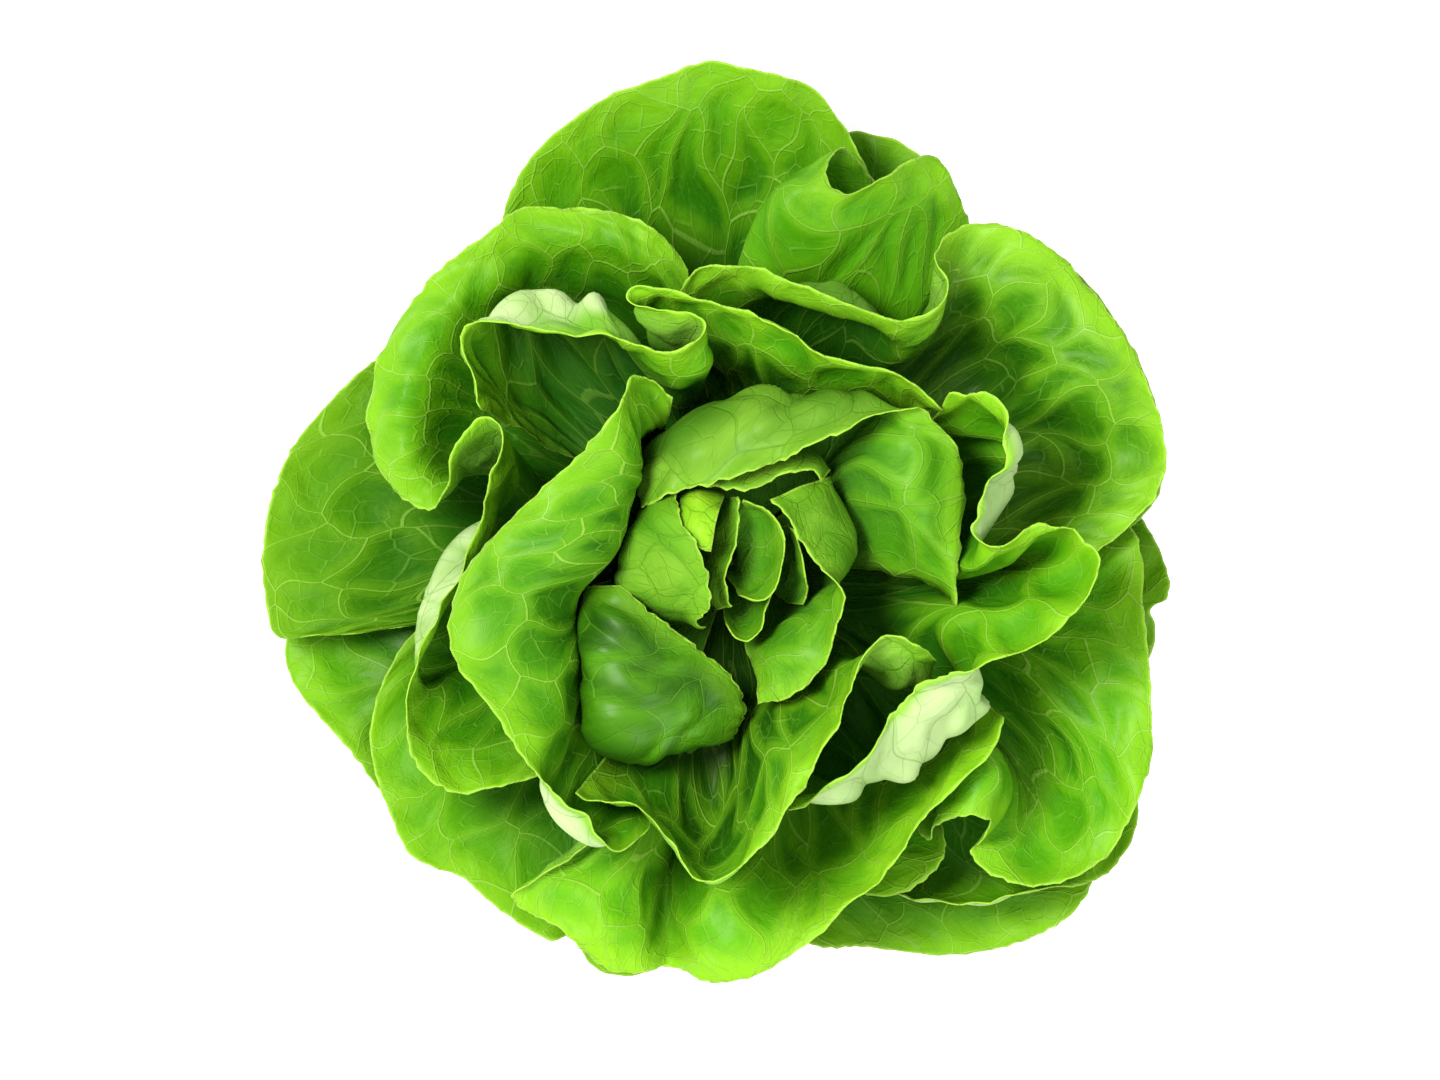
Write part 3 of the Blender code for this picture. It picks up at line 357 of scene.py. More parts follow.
        (-50, 53, 47, -64, 72.5, 66, -62, 63.5, 78, -62, 66.2, 89), (-53, 46, 46, -66, 60, 63, -71, 67, 87),
        (-53, 40, 45, -68, 54, 63, -75, 61, 84), (-50, 34, 45, -66, 46, 62, -72, 52, 80),
        (-46, 28, 44, -62, 37, 60, -68.5, 40, 74)]),
    "inner_leaf_03": (186, (38, 42), [
        (-16, 34, 64, -14, 44, 80), (-19, 36, 70, -20, 49.5, 86), (-22, 36, 76, -27.5, 51.5, 92),
        (-25, 34, 84, -29, 43, 96), (-24, 27, 88, -34, 35, 96), (-24.5, 20, 88, -46, 23.5, 93),
        (-27, 8, 86, -42, 10, 97, -60, 10, 90), (-32, -2, 82, -50, -3, 94, -73, -4, 86),
        (-42, -11, 78, -56, -10, 91, -77.5, -18, 86), (-46, -22, 78, -58, -24, 90, -75.5, -30, 86),
        (-45, -33, 80, -66, -42, 88), (-48, -46, 82, -60, -51, 90), (-48, -54, 82, -56, -58, 91),
        (-50, -63, 76, -54.5, -66, 82, -50, -64.5, 92), (-45, -69, 72, -49.5, -73.5, 78, -44, -69, 91),
        (-38, -72, 68, -42, -78, 76, -38, -72, 90), (-31, -70, 64, -34.5, -81.5, 80, -33, -79, 89),
        (-25, -66, 62, -29, -82, 84), (-21, -63, 60, -24, -79.5, 82), (-15, -56, 56, -19, -74, 76)]),
    "inner_leaf_04": (-82, (36, 44), [
        (-34, -55, 47, -41, -64.5, 62, -42.5, -66.5, 77), (-29, -59, 46, -34, -67.5, 62, -35, -69.5, 80),
        (-21, -62, 46, -24.5, -69.5, 62, -25, -71.5, 83), (-14, -64, 48, -19, -74, 64, -18.5, -77, 87),
        (-9, -68, 47, -13, -80, 64, -13, -83.5, 88), (-5, -71, 46, -8, -85, 64, -8, -90, 89),
        (-2, -71, 47, -3.5, -86, 66, -3.5, -92.5, 90), (1, -69, 50, 2, -81, 70, 3, -89, 90),
        (6, -63, 62, 8.5, -73, 78, 9, -82, 91), (9, -57, 73, 12.5, -65, 83, 15.5, -75, 91),
        (12, -50, 75, 17, -57, 85, 21.5, -66, 92), (16, -44, 73, 22, -50, 83, 26.5, -57, 92),
        (21, -38, 67, 28, -44, 80, 31.5, -48.5, 93), (25, -32, 66, 32.5, -36, 81, 35.5, -38, 94),
        (29, -26, 68, 37, -29, 82, 40, -26.5, 95), (34, -27, 68, 44, -32, 80, 48, -21.5, 95),
        (37, -32, 62, 48, -39, 73, 54, -25, 92), (42, -30, 58, 56, -37, 68, 59, -29, 84)]),
    "heart_leaf_01": (62, (32, 50), [
        (52, -6, 64, 65, -16, 70), (42, 8, 70, 54, 6, 82, 65, 0, 76), (38, 20, 74, 52, 16, 86, 67, 16, 78),
        (36, 28, 76, 50, 28, 84, 67, 29, 80), (42, 36, 76, 58, 37.5, 82), (44, 41, 77, 53, 42.5, 87),
        (41, 46, 77, 45, 40, 89), (34, 49, 76, 33, 33, 91), (22, 46, 76, 20, 38, 88, 20, 27.5, 90),
        (12, 49, 74, 8, 38, 87, 8, 22.5, 89), (0, 45, 74, -2, 34, 86, -4, 19, 87),
        (-12, 40, 72, -12, 28, 83, -12, 17, 84), (-20, 32, 70, -19, 22, 79, -18, 13.5, 80),
        (-24, 20, 66, -22, 12, 74)]),
    "heart_leaf_02": (232, (30, 48), [
        (-43, -8, 62, -36, -7, 71, -28, -7, 72), (-45, -22, 65, -34, -18, 76, -20, -14, 73),
        (-46, -36, 65, -32, -31, 79, -9, -23, 72), (-46, -51, 63, -28, -43, 79, 3, -33, 70),
        (-40, -61, 60, -21, -52, 75, 7, -42, 66), (-27, -61, 56, -11, -54, 68, 4, -50.5, 62),
        (-12, -55, 50, -2, -54, 58)]),
    "heart_leaf_03": (75, (24, 52), [
        (30, 24, 66, 27, 20, 78), (27, 30, 70, 24.5, 24.5, 82), (20, 33, 72, 18, 23.5, 83),
        (12, 33, 72, 11, 19.5, 83), (4, 30, 72, 4, 17, 82), (-4, 27, 70, -5, 17.5, 80),
        (-10, 24, 66, -9, 18, 76)]),
    "heart_leaf_04": (0, (24, 52), [
        (8, -33, 68, 9, -42, 72), (11, -30, 72, 16, -41, 76), (15, -24, 76, 26, -35, 80),
        (20, -17, 78, 31.5, -24, 84), (28, -11, 76, 33.5, -13, 86), (33, -7, 73, 31, -7, 88),
        (38, 0, 70, 25.5, -1, 88), (36, 8, 70, 20, 5, 87), (33, 16, 70, 16, 10.5, 86),
        (31, 23, 68, 12.5, 16, 84)]),
    "heart_leaf_05": (178, (22, 52), [
        (-20, 18, 66, -12, 16, 76), (-26, 10, 68, -19, 10.5, 78, -10, 10, 81),
        (-28, 4, 70, -18, 5, 81, -7, 4, 84), (-31, -3, 70, -18, 0, 82, -4, 0, 86),
        (-32, -9, 68, -18, -8, 81, -3.2, -8, 85), (-27, -13, 65, -16, -13, 79, -3, -15.5, 83),
        (-19, -17, 62, -12, -16, 75, -9, -19, 79), (-9, -19, 58, -5, -20, 70)]),
    "heart_leaf_06": (110, (14, 52), [
        (0, 18, 70, -1, 15, 85, -4, 8, 91, -4.5, 1.5, 89),
        (-5, 20, 72, -6, 16, 87, -8.5, 10, 93, -10, 3, 91),
        (-9, 21, 72, -10, 17, 87, -12.5, 11, 93, -14, 4, 91),
        (-14, 20, 70, -14, 16, 84, -17, 11, 90, -18, 5.5, 88)]),
    "heart_leaf_07": (-25, (16, 54), [
        (20, -16, 62, 24, -15, 68), (22, -12, 66, 26, -11, 74), (22, -7, 69, 24.6, -7, 79),
        (21, -2, 70, 22, -2, 82), (20, 3, 70, 20, 2, 82), (18, 9, 68, 18.5, 7, 80)]),
    "heart_leaf_08": (160, (12, 54), [
        (-2, 17, 66, 3.5, 17, 76), (-3, 11, 70, 4, 10, 79), (-4.5, 3, 71, 2.5, 3, 80),
        (-4.5, -5, 70, 0.8, -4, 80), (-3.5, -11, 68, 1, -10, 78), (-1, -15, 64, 3, -13.5, 75)]),
    "heart_leaf_09": (-75, (12, 56), [
        (-2, -16, 62, 0, -19, 70), (2, -20, 63, 3, -24, 72), (5, -20, 64, 6, -25, 73),
        (8, -17, 65, 10, -21, 74), (11, -12, 66, 12.5, -14, 75), (13, -7, 66, 14.5, -8, 76)]),
    "heart_leaf_10": (20, (5, 56), [
        (-1, -6, 61, 3, -10, 68, 4, -12, 77), (2, -7, 62, 6, -11, 69, 7.6, -13.6, 79),
        (4, -6, 63, 10, -9, 69, 12.3, -11.5, 80), (4, -3, 64, 12, -4, 69, 15.6, -5, 80),
        (4, 1, 64, 12, 1, 69, 16.4, 2, 81), (3, 4, 64, 11, 7, 69, 15, 9, 81),
        (1, 7, 63, 8, 12, 69, 11, 14.5, 80), (-1, 8, 62, 3, 13, 68, 5, 16, 77)]),
}


def around(radius, azimuth, height):
    return np.array([radius * math.cos(azimuth), radius * math.sin(azimuth), height])


def carried_on(points):
    """Points along the first axis, carried straight on by one more at each end."""
    return np.concatenate([2 * points[:1] - points[1:2], points, 2 * points[-1:] - points[-2:-1]])


def curve_through(points, steps):
    """Points on a centripetal Catmull-Rom curve: every given point, and steps - 1 between each two."""
    given = np.array(points, dtype=float)
    longer = carried_on(given)
    result = []
    for a, b, c, d in zip(longer, longer[1:], longer[2:], longer[3:]):
        t1 = max(np.linalg.norm(b - a), TINY) ** 0.5
        t2 = t1 + max(np.linalg.norm(c - b), TINY) ** 0.5
        t3 = t2 + max(np.linalg.norm(d - c), TINY) ** 0.5
        for step in range(steps):
            t = t1 + (t2 - t1) * step / steps
            ab = a + (b - a) * t / t1
            bc = b + (c - b) * (t - t1) / (t2 - t1)
            cd = c + (d - c) * (t - t2) / (t3 - t2)
            abc = ab + (bc - ab) * t / t2
            bcd = bc + (cd - bc) * (t - t1) / (t3 - t1)
            result.append(abc + (bcd - abc) * (t - t1) / (t2 - t1))
    return np.array([*result, given[-1]])


def evenly(points, count):
    """The given number of points, evenly spaced along the smooth curve through the given ones."""
    fine = curve_through(points, FINE_STEPS)
    run = np.concatenate([[0.0], np.cumsum(np.linalg.norm(np.diff(fine, axis=0), axis=1))])
    wanted = np.linspace(0.0, run[-1], count)
    return np.stack([np.interp(wanted, run, fine[:, axis]) for axis in range(3)], axis=1)


def turn_between(start, end):
    return (end - start + math.pi) % TURN - math.pi


def stem_radius(height):
    return STEM_FOOT_RADIUS + (STEM_TIP_RADIUS - STEM_FOOT_RADIUS) * (height / STEM_HEIGHT)


def belly_azimuths(azimuth, ribs):
    """The azimuth at which each rib crosses the leaf's belly, in order, so that no ribs cross there."""
    turns = sorted(turn_between(azimuth, math.atan2(rib[1], rib[0])) for rib in ribs)
    return azimuth + (np.array(turns) + np.linspace(turns[0], turns[-1], len(ribs))) / 2


def leaf_sheet(order, azimuth, belly, ribs, rows):
    """The leaf's middle surface, as an array of ribs, each with its points from the stem to the margin."""
    azimuth = math.radians(azimuth)
    root_height = FIRST_ROOT_HEIGHT + ROOT_STEP * order
    root_radius = stem_radius(root_height) + TOUCH_GAP + BLADE_THICKNESS / 2
    root_azimuths = azimuth + ROOT_HALF_ARC * np.linspace(-1.0, 1.0, len(ribs))
    lines = []
    for rib, root_azimuth, belly_azimuth in zip(ribs, root_azimuths, belly_azimuths(azimuth, ribs)):
        root = around(root_radius, root_azimuth, root_height)
        points = [root, around(belly[0], belly_azimuth, belly[1]), *np.reshape(rib, (-1, 3))]
        lines.append(evenly(points, rows))
    lines = np.array(lines)
    if len(ribs) <= MOST_RIBS_TO_SPLIT and rows == ROWS:
        lines = np.array([curve_through(line, 2) for line in lines.transpose(1, 0, 2)]).transpose(1, 0, 2)
    return lines


def sheet_pattern(shape):
    """The triangles of a sheet, and the two points between which each probe lies: points and edges."""
    grid = bmesh.new()
    bmesh.ops.create_grid(grid, x_segments=shape[1] - 1, y_segments=shape[0] - 1, size=1.0)
    bmesh.ops.triangulate(grid, faces=grid.faces[:], quad_method="FIXED")
    triangles = [[corner.index for corner in face.verts] for face in grid.faces]
    points = [(vertex.index, vertex.index) for vertex in grid.verts]
    edges = [(edge.verts[0].index, edge.verts[1].index) for edge in grid.edges]
    grid.free()
    return triangles, np.array(points + edges)


def sheet_tree(sheet, triangles):
    return BVHTree.FromPolygons(sheet.reshape(-1, 3).tolist(), triangles)


def near_sheet(places, sheet, reach):
    """The indices of the places within reach of the box round a sheet."""
    low, high = sheet.min(axis=(0, 1)), sheet.max(axis=(0, 1))
    return np.nonzero(np.all((places > low - reach) & (places < high + reach), axis=1))[0]


def at_probes(flat, ends):
    return (flat[ends[:, 0]] + flat[ends[:, 1]]) / 2


def spread_push(push, ends, shape):
    """The push on each point of a sheet: the mean of the pushes felt there and at the edges' middles."""
    total = np.zeros((shape[0] * shape[1], 3))
    felt = np.zeros(len(total))
    pushed = np.any(push != 0.0, axis=1).astype(float)
    for end in (0, 1):
        np.add.at(total, ends[:, end], push)
        np.add.at(felt, ends[:, end], pushed)
    return (total / np.maximum(felt, 1.0)[:, None]).reshape(shape)


def unit(vectors, least=1e-9):
    return vectors / np.maximum(np.linalg.norm(vectors, axis=-1, keepdims=True), least)


def facing(sheet):
    """Which way a sheet's upper face looks at each of its points, as vectors of any length."""
    return np.cross(np.gradient(sheet, axis=1), np.gradient(sheet, axis=0))


def room_push(tests, normals, tree, order, sheet):
    """How far each probe has to move to be clear of another leaf.

    Where both leaves look the same way, the probe goes to the side that the leaves' order gives.
    Where they look against each other, it stays on the side that it is on.
    """
    room = BLADE_THICKNESS + LEAF_GAP
    push = np.zeros_like(tests)
    for index in near_sheet(tests, sheet, room):
        place, normal, _, distance = tree.find_nearest(tests[index], REACH)
        if place is None:
            continue
        offset = tests[index] - np.array(place)
        normal = np.array(normal)
        depth = float(np.dot(offset, normal))
        if abs(depth) < EDGE_SLOPE * distance:
            if distance < room:
                push[index] = offset / max(distance, TINY) * (room - distance)
            continue
        side = order if np.dot(normals[index], normal) > SAME_WAY else math.copysign(1.0, depth)
        if side * depth < room:
            push[index] = side * normal * (room - side * depth)
    return push


def smoothed(field):
    """Each value moved towards the mean of its neighbours on the sheet."""
    padded = np.pad(field, ((1, 1), (1, 1), (0, 0)), mode="edge")
    mean = (padded[2:, 1:-1] + padded[:-2, 1:-1] + padded[1:-1, 2:] + padded[1:-1, :-2]) / 4
    return field + SMOOTHING * (mean - field)


def softened(sheet):
    """The sheet with its kinks rounded; its root stays on the stem."""
    soft = smoothed(sheet)
    soft[:, 0] = sheet[:, 0]
    return soft


def push_of(own, sheets, ends, trees):
    """The largest push that any other leaf gives each probe of one leaf."""
    tests = at_probes(sheets[own].reshape(-1, 3), ends)
    normals = unit(at_probes(facing(sheets[own]).reshape(-1, 3), ends), TINY)
    largest = np.zeros_like(tests)
    for other, tree in enumerate(trees):
        if other == own:
            continue
        push = room_push(tests, normals, tree, 1.0 if own > other else -1.0, sheets[other])
        larger = np.linalg.norm(push, axis=1) > np.linalg.norm(largest, axis=1)
        largest[larger] = push[larger]
    return largest


def settle(start):
    """Leaves bent clear of each other: each leaf on the upper side of those that come before it."""
    patterns = [sheet_pattern(sheet.shape) for sheet in start]
    shifts = [np.zeros_like(sheet) for sheet in start]
    for turn in range(SETTLE_ROUNDS):
        sheets = [sheet + shift for sheet, shift in zip(start, shifts)]
        trees = [sheet_tree(sheet, triangles) for sheet, (triangles, _) in zip(sheets, patterns)]
        for own, (_, ends) in enumerate(patterns):
            push = push_of(own, sheets, ends, trees)
            shift = shifts[own] + PUSH_SHARE * spread_push(push, ends, start[own].shape)
            if turn < SMOOTH_ROUNDS:
                shift = smoothed(shift)
            shift[:, 0] = 0.0
            shift[:, :, 2] = np.maximum(shift[:, :, 2], FLOOR_CLEARANCE - start[own][:, :, 2])
            shifts[own] = shift
    return [sheet + shift for sheet, shift in zip(start, shifts)]


def build_sheets():
    sheets = []
    for order, (name, (azimuth, belly, ribs)) in enumerate(LEAVES.items()):
        rows = MORE_ROWS.get(name, HEART_ROWS if name.startswith("heart") else ROWS)
        sheets.append(leaf_sheet(order, azimuth, belly, ribs, rows))
    return settle([softened(sheet) for sheet in sheets])


def refined(points, steps):
    """Points on smooth curves along the first axis: every given point, and steps - 1 between each two."""
    longer = carried_on(points)
    a, b, c, d = (part[:, None] for part in (longer[:-3], longer[1:-2], longer[2:-1], longer[3:]))
    t = (np.arange(steps) / steps).reshape((1, steps) + (1,) * (points.ndim - 1))
    fine = b + 0.5 * t * (c - a + t * (2 * a - 5 * b + 4 * c - d + t * (3 * (b - c) + d - a)))
    return np.concatenate([fine.reshape((-1,) + points.shape[1:]), points[-1:]])


def refined_both(field, steps):
    return refined(refined(field, steps[0]).swapaxes(0, 1), steps[1]).swapaxes(0, 1)


def refined_values(values, steps):
    return refined_both(values[:, :, None], steps)[:, :, 0]


def relaxed(sheet):
    """The fine sheet with its corners rounded; its outline is smoothed along itself but doesn't draw in."""
    root = sheet[:, 0].copy()
    for turn in range(RELAX_ROUNDS):
        columns = carried_on(sheet)
        rows = carried_on(sheet.swapaxes(0, 1)).swapaxes(0, 1)
        mean = ((columns[2:] + columns[:-2]) / 2 + (rows[:, 2:] + rows[:, :-2]) / 2) / 2
        sheet = (sheet + mean) / 2
    sheet[:, 0] = root
    return sheet


def run_along(sheet, axis):
    """How far each point of a sheet is along its row or rib, from the first point."""
    run = np.cumsum(np.linalg.norm(np.diff(sheet, axis=axis), axis=2), axis=axis)
    return np.concatenate([np.zeros_like(run.take([0], axis=axis)), run], axis=axis)


def waves(across, along, seed, length):
    """A smooth uneven swell between about -1 and 1, of the given wavelength."""
    random = np.random.default_rng(seed)
    total = np.zeros_like(across)
    for octave in range(WAVE_COUNT):
        angle = random.uniform(0, math.pi)
        stretch = TURN / (length * random.uniform(*WAVE_LENGTHS))
        phase = random.uniform(0, TURN)
        total += np.sin(stretch * (across * math.cos(angle) + along * math.sin(angle)) + phase)
    return total / WAVE_SUM


def room_round(sheets):
    """How far each point of each sheet is from the nearest other leaf."""
    trees = [sheet_tree(sheet, sheet_pattern(sheet.shape)[0]) for sheet in sheets]
    rooms = []
    for own, sheet in enumerate(sheets):
        flat = sheet.reshape(-1, 3)
        room = np.full(len(flat), FREE_ROOM)
        for other, tree in enumerate(trees):
            if other == own:
                continue
            for index in near_sheet(flat, sheets[other], FREE_ROOM):
                place, _, _, distance = tree.find_nearest(flat[index], FREE_ROOM)
                if place is not None:
                    room[index] = min(room[index], distance)
        rooms.append(least_round(room.reshape(sheet.shape[:2])))
    return rooms


def least_round(room):
    """Each value lowered halfway to the least of its neighbours, because leaves curve between them."""
    padded = np.pad(room, 1, mode="edge")
    near = [padded[1:-1, :-2], padded[1:-1, 2:], padded[:-2, 1:-1], padded[2:, 1:-1]]
    return (room + np.minimum(room, np.minimum.reduce(near))) / 2


def sky_seen(sheets):
    """What share of the sky each point of each sheet sees past all the leaves, in light from overhead; the
    leaves' material paints shade where the share is small.
    """
    places, triangles = [], []
    for sheet in sheets:
        triangles += [[corner + len(places) for corner in face] for face in sheet_pattern(sheet.shape)[0]]
        places += sheet.reshape(-1, 3).tolist()
    tree = BVHTree.FromPolygons(places, triangles)
    turns = np.arange(SKY_RAYS)
    radius = np.sqrt((turns + 0.5) / SKY_RAYS) * SKY_SPREAD
    angle = turns * GOLDEN_ANGLE
    rays = np.stack([radius * np.cos(angle), radius * np.sin(angle), np.sqrt(1.0 - radius ** 2)], axis=1)
    rays = [Vector(ray) for ray in rays]
    seen = []
    for place in places:
        start = Vector(place)
        free = sum(tree.ray_cast(start + ray * SKY_START, ray, SKY_REACH)[0] is None for ray in rays)
        seen.append(free / SKY_RAYS)
    ends = np.cumsum([sheet.shape[0] * sheet.shape[1] for sheet in sheets])
    parts = np.split(np.array(seen), ends[:-1])
    return [part.reshape(sheet.shape[:2]) for part, sheet in zip(parts, sheets)]


def vein_plan(across, along, seed, size):
    """Where each point lies on the leaf's plan of veins, in cells, and how large the cells are there.

    Cells are long at the leaf's base and round at its margin. The sines keep veins from running straight.
    """
    widest = size * VEIN_WIDTH_AT_MARGIN
    spread = np.gradient(across, axis=0) / np.maximum(np.gradient(across[:, -1:], axis=0), TINY)
    width = widest * np.clip(spread, VEIN_LEAST_SPREAD, 1.0)
    inward = along[:, -1:] - along
    length = size * np.minimum(VEIN_LENGTH_AT_MARGIN + VEIN_LENGTHENING * inward, VEIN_MOST_LENGTH)
    rows = np.cumsum(np.diff(along, axis=1, prepend=along[:, :1]) / length, axis=1)
    rows = rows - rows[:, -1:]
    columns = across[:, -1:] / widest + np.zeros_like(rows)
    bend = 0.14 * np.sin(3.1 * rows + 1.7 * columns + seed)
    columns = columns + bend + 0.08 * np.sin(5.3 * rows - 2.9 * columns)
    rows = rows + 0.12 * np.sin(2.7 * columns + 2.1 * rows + 2 * seed)
    plan = np.stack([columns + 0.5 + PLAN_STEP * seed, rows + PLAN_START, np.zeros_like(rows)], axis=2)
    return plan, np.minimum((width + length) / 2, VEIN_LONGEST_CELL * width)


def edge_distances(places):
    """How far each place is from the nearest edge of its Voronoi cell, as the material's texture has it."""
    mesh = bpy.data.meshes.new("vein_probe")
    mesh.from_pydata(places.tolist(), [], [])
    probe = new_object("vein_probe", mesh)
    tree = bpy.data.node_groups.new("vein_probe", "GeometryNodeTree")
    for way in ("INPUT", "OUTPUT"):
        tree.interface.new_socket("Geometry", in_out=way, socket_type="NodeSocketGeometry")
    start, end, position, store = (tree.nodes.new(kind) for kind in (
        "NodeGroupInput", "NodeGroupOutput", "GeometryNodeInputPosition", "GeometryNodeStoreNamedAttribute"))
    store.data_type = "FLOAT"
    store.domain = "POINT"
    store.inputs["Name"].default_value = "edge"
    tree.links.new(start.outputs[0], store.inputs["Geometry"])
    tree.links.new(vein_cells(tree, position.outputs[0]), store.inputs["Value"])
    tree.links.new(store.outputs[0], end.inputs[0])
    probe.modifiers.new("probe", "NODES").node_group = tree
    evaluated = probe.evaluated_get(bpy.context.evaluated_depsgraph_get()).data
    found = np.zeros(len(places), dtype=np.float32)
    evaluated.attributes["edge"].data.foreach_get("value", found)
    bpy.data.objects.remove(probe, do_unlink=True)
    bpy.data.meshes.remove(mesh)
    bpy.data.node_groups.remove(tree)
    return found


def vein_cells(tree, vector):
    """The socket of a Voronoi texture that gives the distance to the cells' edges."""
    cells = tree.nodes.new("ShaderNodeTexVoronoi")
    cells.voronoi_dimensions = "2D"
    cells.feature = "DISTANCE_TO_EDGE"
    cells.inputs["Scale"].default_value = 1.0
    cells.inputs["Randomness"].default_value = CELL_RANDOMNESS
    tree.links.new(vector, cells.inputs["Vector"])
    return cells.outputs["Distance"]


class Leaf:
    """A leaf's fine middle surface, with what its relief and its material go by at each point."""

    def __init__(self, order, name, sheet, room, sky):
        self.name = name
        self.group = name.split("_")[0]
        self.look = {**LOOKS[self.group], **LEAF_LOOKS.get(name, {})}
        self.seed = order + 1
        steps = []
        for axis in (0, 1):
            length = np.percentile(run_along(sheet, axis).take(-1, axis=axis), LENGTH_PERCENTILE)
            steps.append(max(2, round(length / (sheet.shape[axis] - 1) / FINE_CELL)))
        self.sheet = relaxed(refined_both(sheet, steps))
        room = refined_values(room, steps)
        self.room = np.maximum((room - BLADE_MIDDLE - VISUAL_GAP) / 2, LEAST_RELIEF)
        self.sky = np.clip(refined_values(sky, steps), 0.0, 1.0)
        self.along = run_along(self.sheet, 1)
        across = run_along(self.sheet, 0)
        middle = across.shape[0] // 2
        self.across = across - across[middle:middle + 1]
        ends = np.minimum(self.across - self.across[:1], self.across[-1:] - self.across)
        self.margin = np.minimum(self.along[:, -1:] - self.along, ends)
        self.reach = self.along / self.along[:, -1:].mean()
        self.plan, self.cell = vein_plan(self.across, self.along, self.seed, self.look["cell"])

    def waves(self, offset, length):
        return waves(self.across, self.along, self.seed + offset, length)

    def kept_in(self, relief):
        """Relief kept within the room that the other leaves leave."""
        return self.room * np.tanh(relief / self.room)

    def shape(self, edge):
        """Adds the relief to the middle surface, and works out both faces."""
        edge = edge.reshape(self.cell.shape) * self.cell
        blister = 1.0 - np.exp(-(edge / GROOVE_WIDTH) ** 2)
        base = np.clip((self.reach - RELIEF_FROM) / RELIEF_FADE, 0, 1)
        swell = self.waves(0, SWELL_LENGTH)
        ruffle = self.waves(RUFFLE_SEED, RUFFLE_LENGTH) * np.exp(-self.margin / RUFFLE_REACH)
        lift = self.look["puff"] * (blister - 0.5) + SWELL_HEIGHT * swell + RUFFLE_HEIGHT * ruffle
        lift = self.kept_in(lift * base)
        notch = self.waves(NOTCH_SEED, NOTCH_LENGTH) * np.exp(-self.margin / NOTCH_REACH)
        middle = self.sheet + unit(facing(self.sheet)) * lift[:, :, None]
        outward = unit(np.gradient(self.sheet, axis=1))
        middle = middle + outward * (self.look["notch"] * notch * base)[:, :, None]
        normals = unit(facing(middle))
        blade = BLADE_MARGIN + (BLADE_MIDDLE - BLADE_MARGIN) * np.clip(self.margin / THIN_WITHIN, 0, 1)
        taper = 1.0 - self.reach / MIDRIB_REACH
        rib_width = MIDRIB_BASE_WIDTH * np.clip(taper, MIDRIB_LEAST_SHARE, 1.0)
        self.rib = np.exp(-(self.across / rib_width) ** 2) * np.clip(taper, 0, 1)
        self.upper = middle + normals * (blade / 2)[:, :, None]
        self.lower = middle - normals * (blade / 2 + self.kept_in(self.rib * MIDRIB_DEPTH))[:, :, None]


def shell_faces(columns, rows):
    """The faces of a closed leaf: its upper face, its lower face and the strip round its outline."""
    grid = np.arange(columns * rows).reshape(columns, rows)
    upper = np.stack([grid[:-1, :-1], grid[:-1, 1:], grid[1:, 1:], grid[1:, :-1]], axis=2).reshape(-1, 4)
    lower = upper[:, [0, 3, 2, 1]] + columns * rows
    ring = np.concatenate([grid[:-1, 0], grid[-1, :-1], grid[:0:-1, -1], grid[0, :0:-1]])
    after = np.roll(ring, -1)
    strip = np.stack([ring, after, after + columns * rows, ring + columns * rows], axis=1)
    return np.concatenate([upper, lower, strip])


def new_object(name, data):
    thing = bpy.data.objects.new(name, data)
    bpy.context.scene.collection.objects.link(thing)
    return thing


def put_attribute(mesh, name, kind, field, values):
    data = mesh.attributes.new(name, kind, "POINT").data
    data.foreach_set(field, values.astype(np.float32).ravel())


def leaf_piece(leaf, material):
    columns, rows = leaf.upper.shape[:2]
    mesh = bpy.data.meshes.new(leaf.name + "_blade")
    places = np.concatenate([leaf.upper.reshape(-1, 3), leaf.lower.reshape(-1, 3)]) * MM
    mesh.from_pydata(places.tolist(), [], shell_faces(columns, rows).tolist())
    plan = np.concatenate([leaf.plan.reshape(-1, 3)] * 2)
    put_attribute(mesh, "vein_plan", "FLOAT_VECTOR", "vector", plan)
    for name, values in (("vein_cell", leaf.cell), ("margin", leaf.margin), ("reach", leaf.reach),
                         ("midrib", leaf.rib), ("sky", leaf.sky)):
        put_attribute(mesh, name, "FLOAT", "value", np.tile(values.ravel(), 2))
    put_attribute(mesh, "upper", "FLOAT", "value", np.repeat([1.0, 0.0], columns * rows))
    mesh.materials.append(material)
    mesh.shade_smooth()
    piece = new_object(leaf.name + "_blade", mesh)
    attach(piece, "root")
    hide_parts(leaf.name)


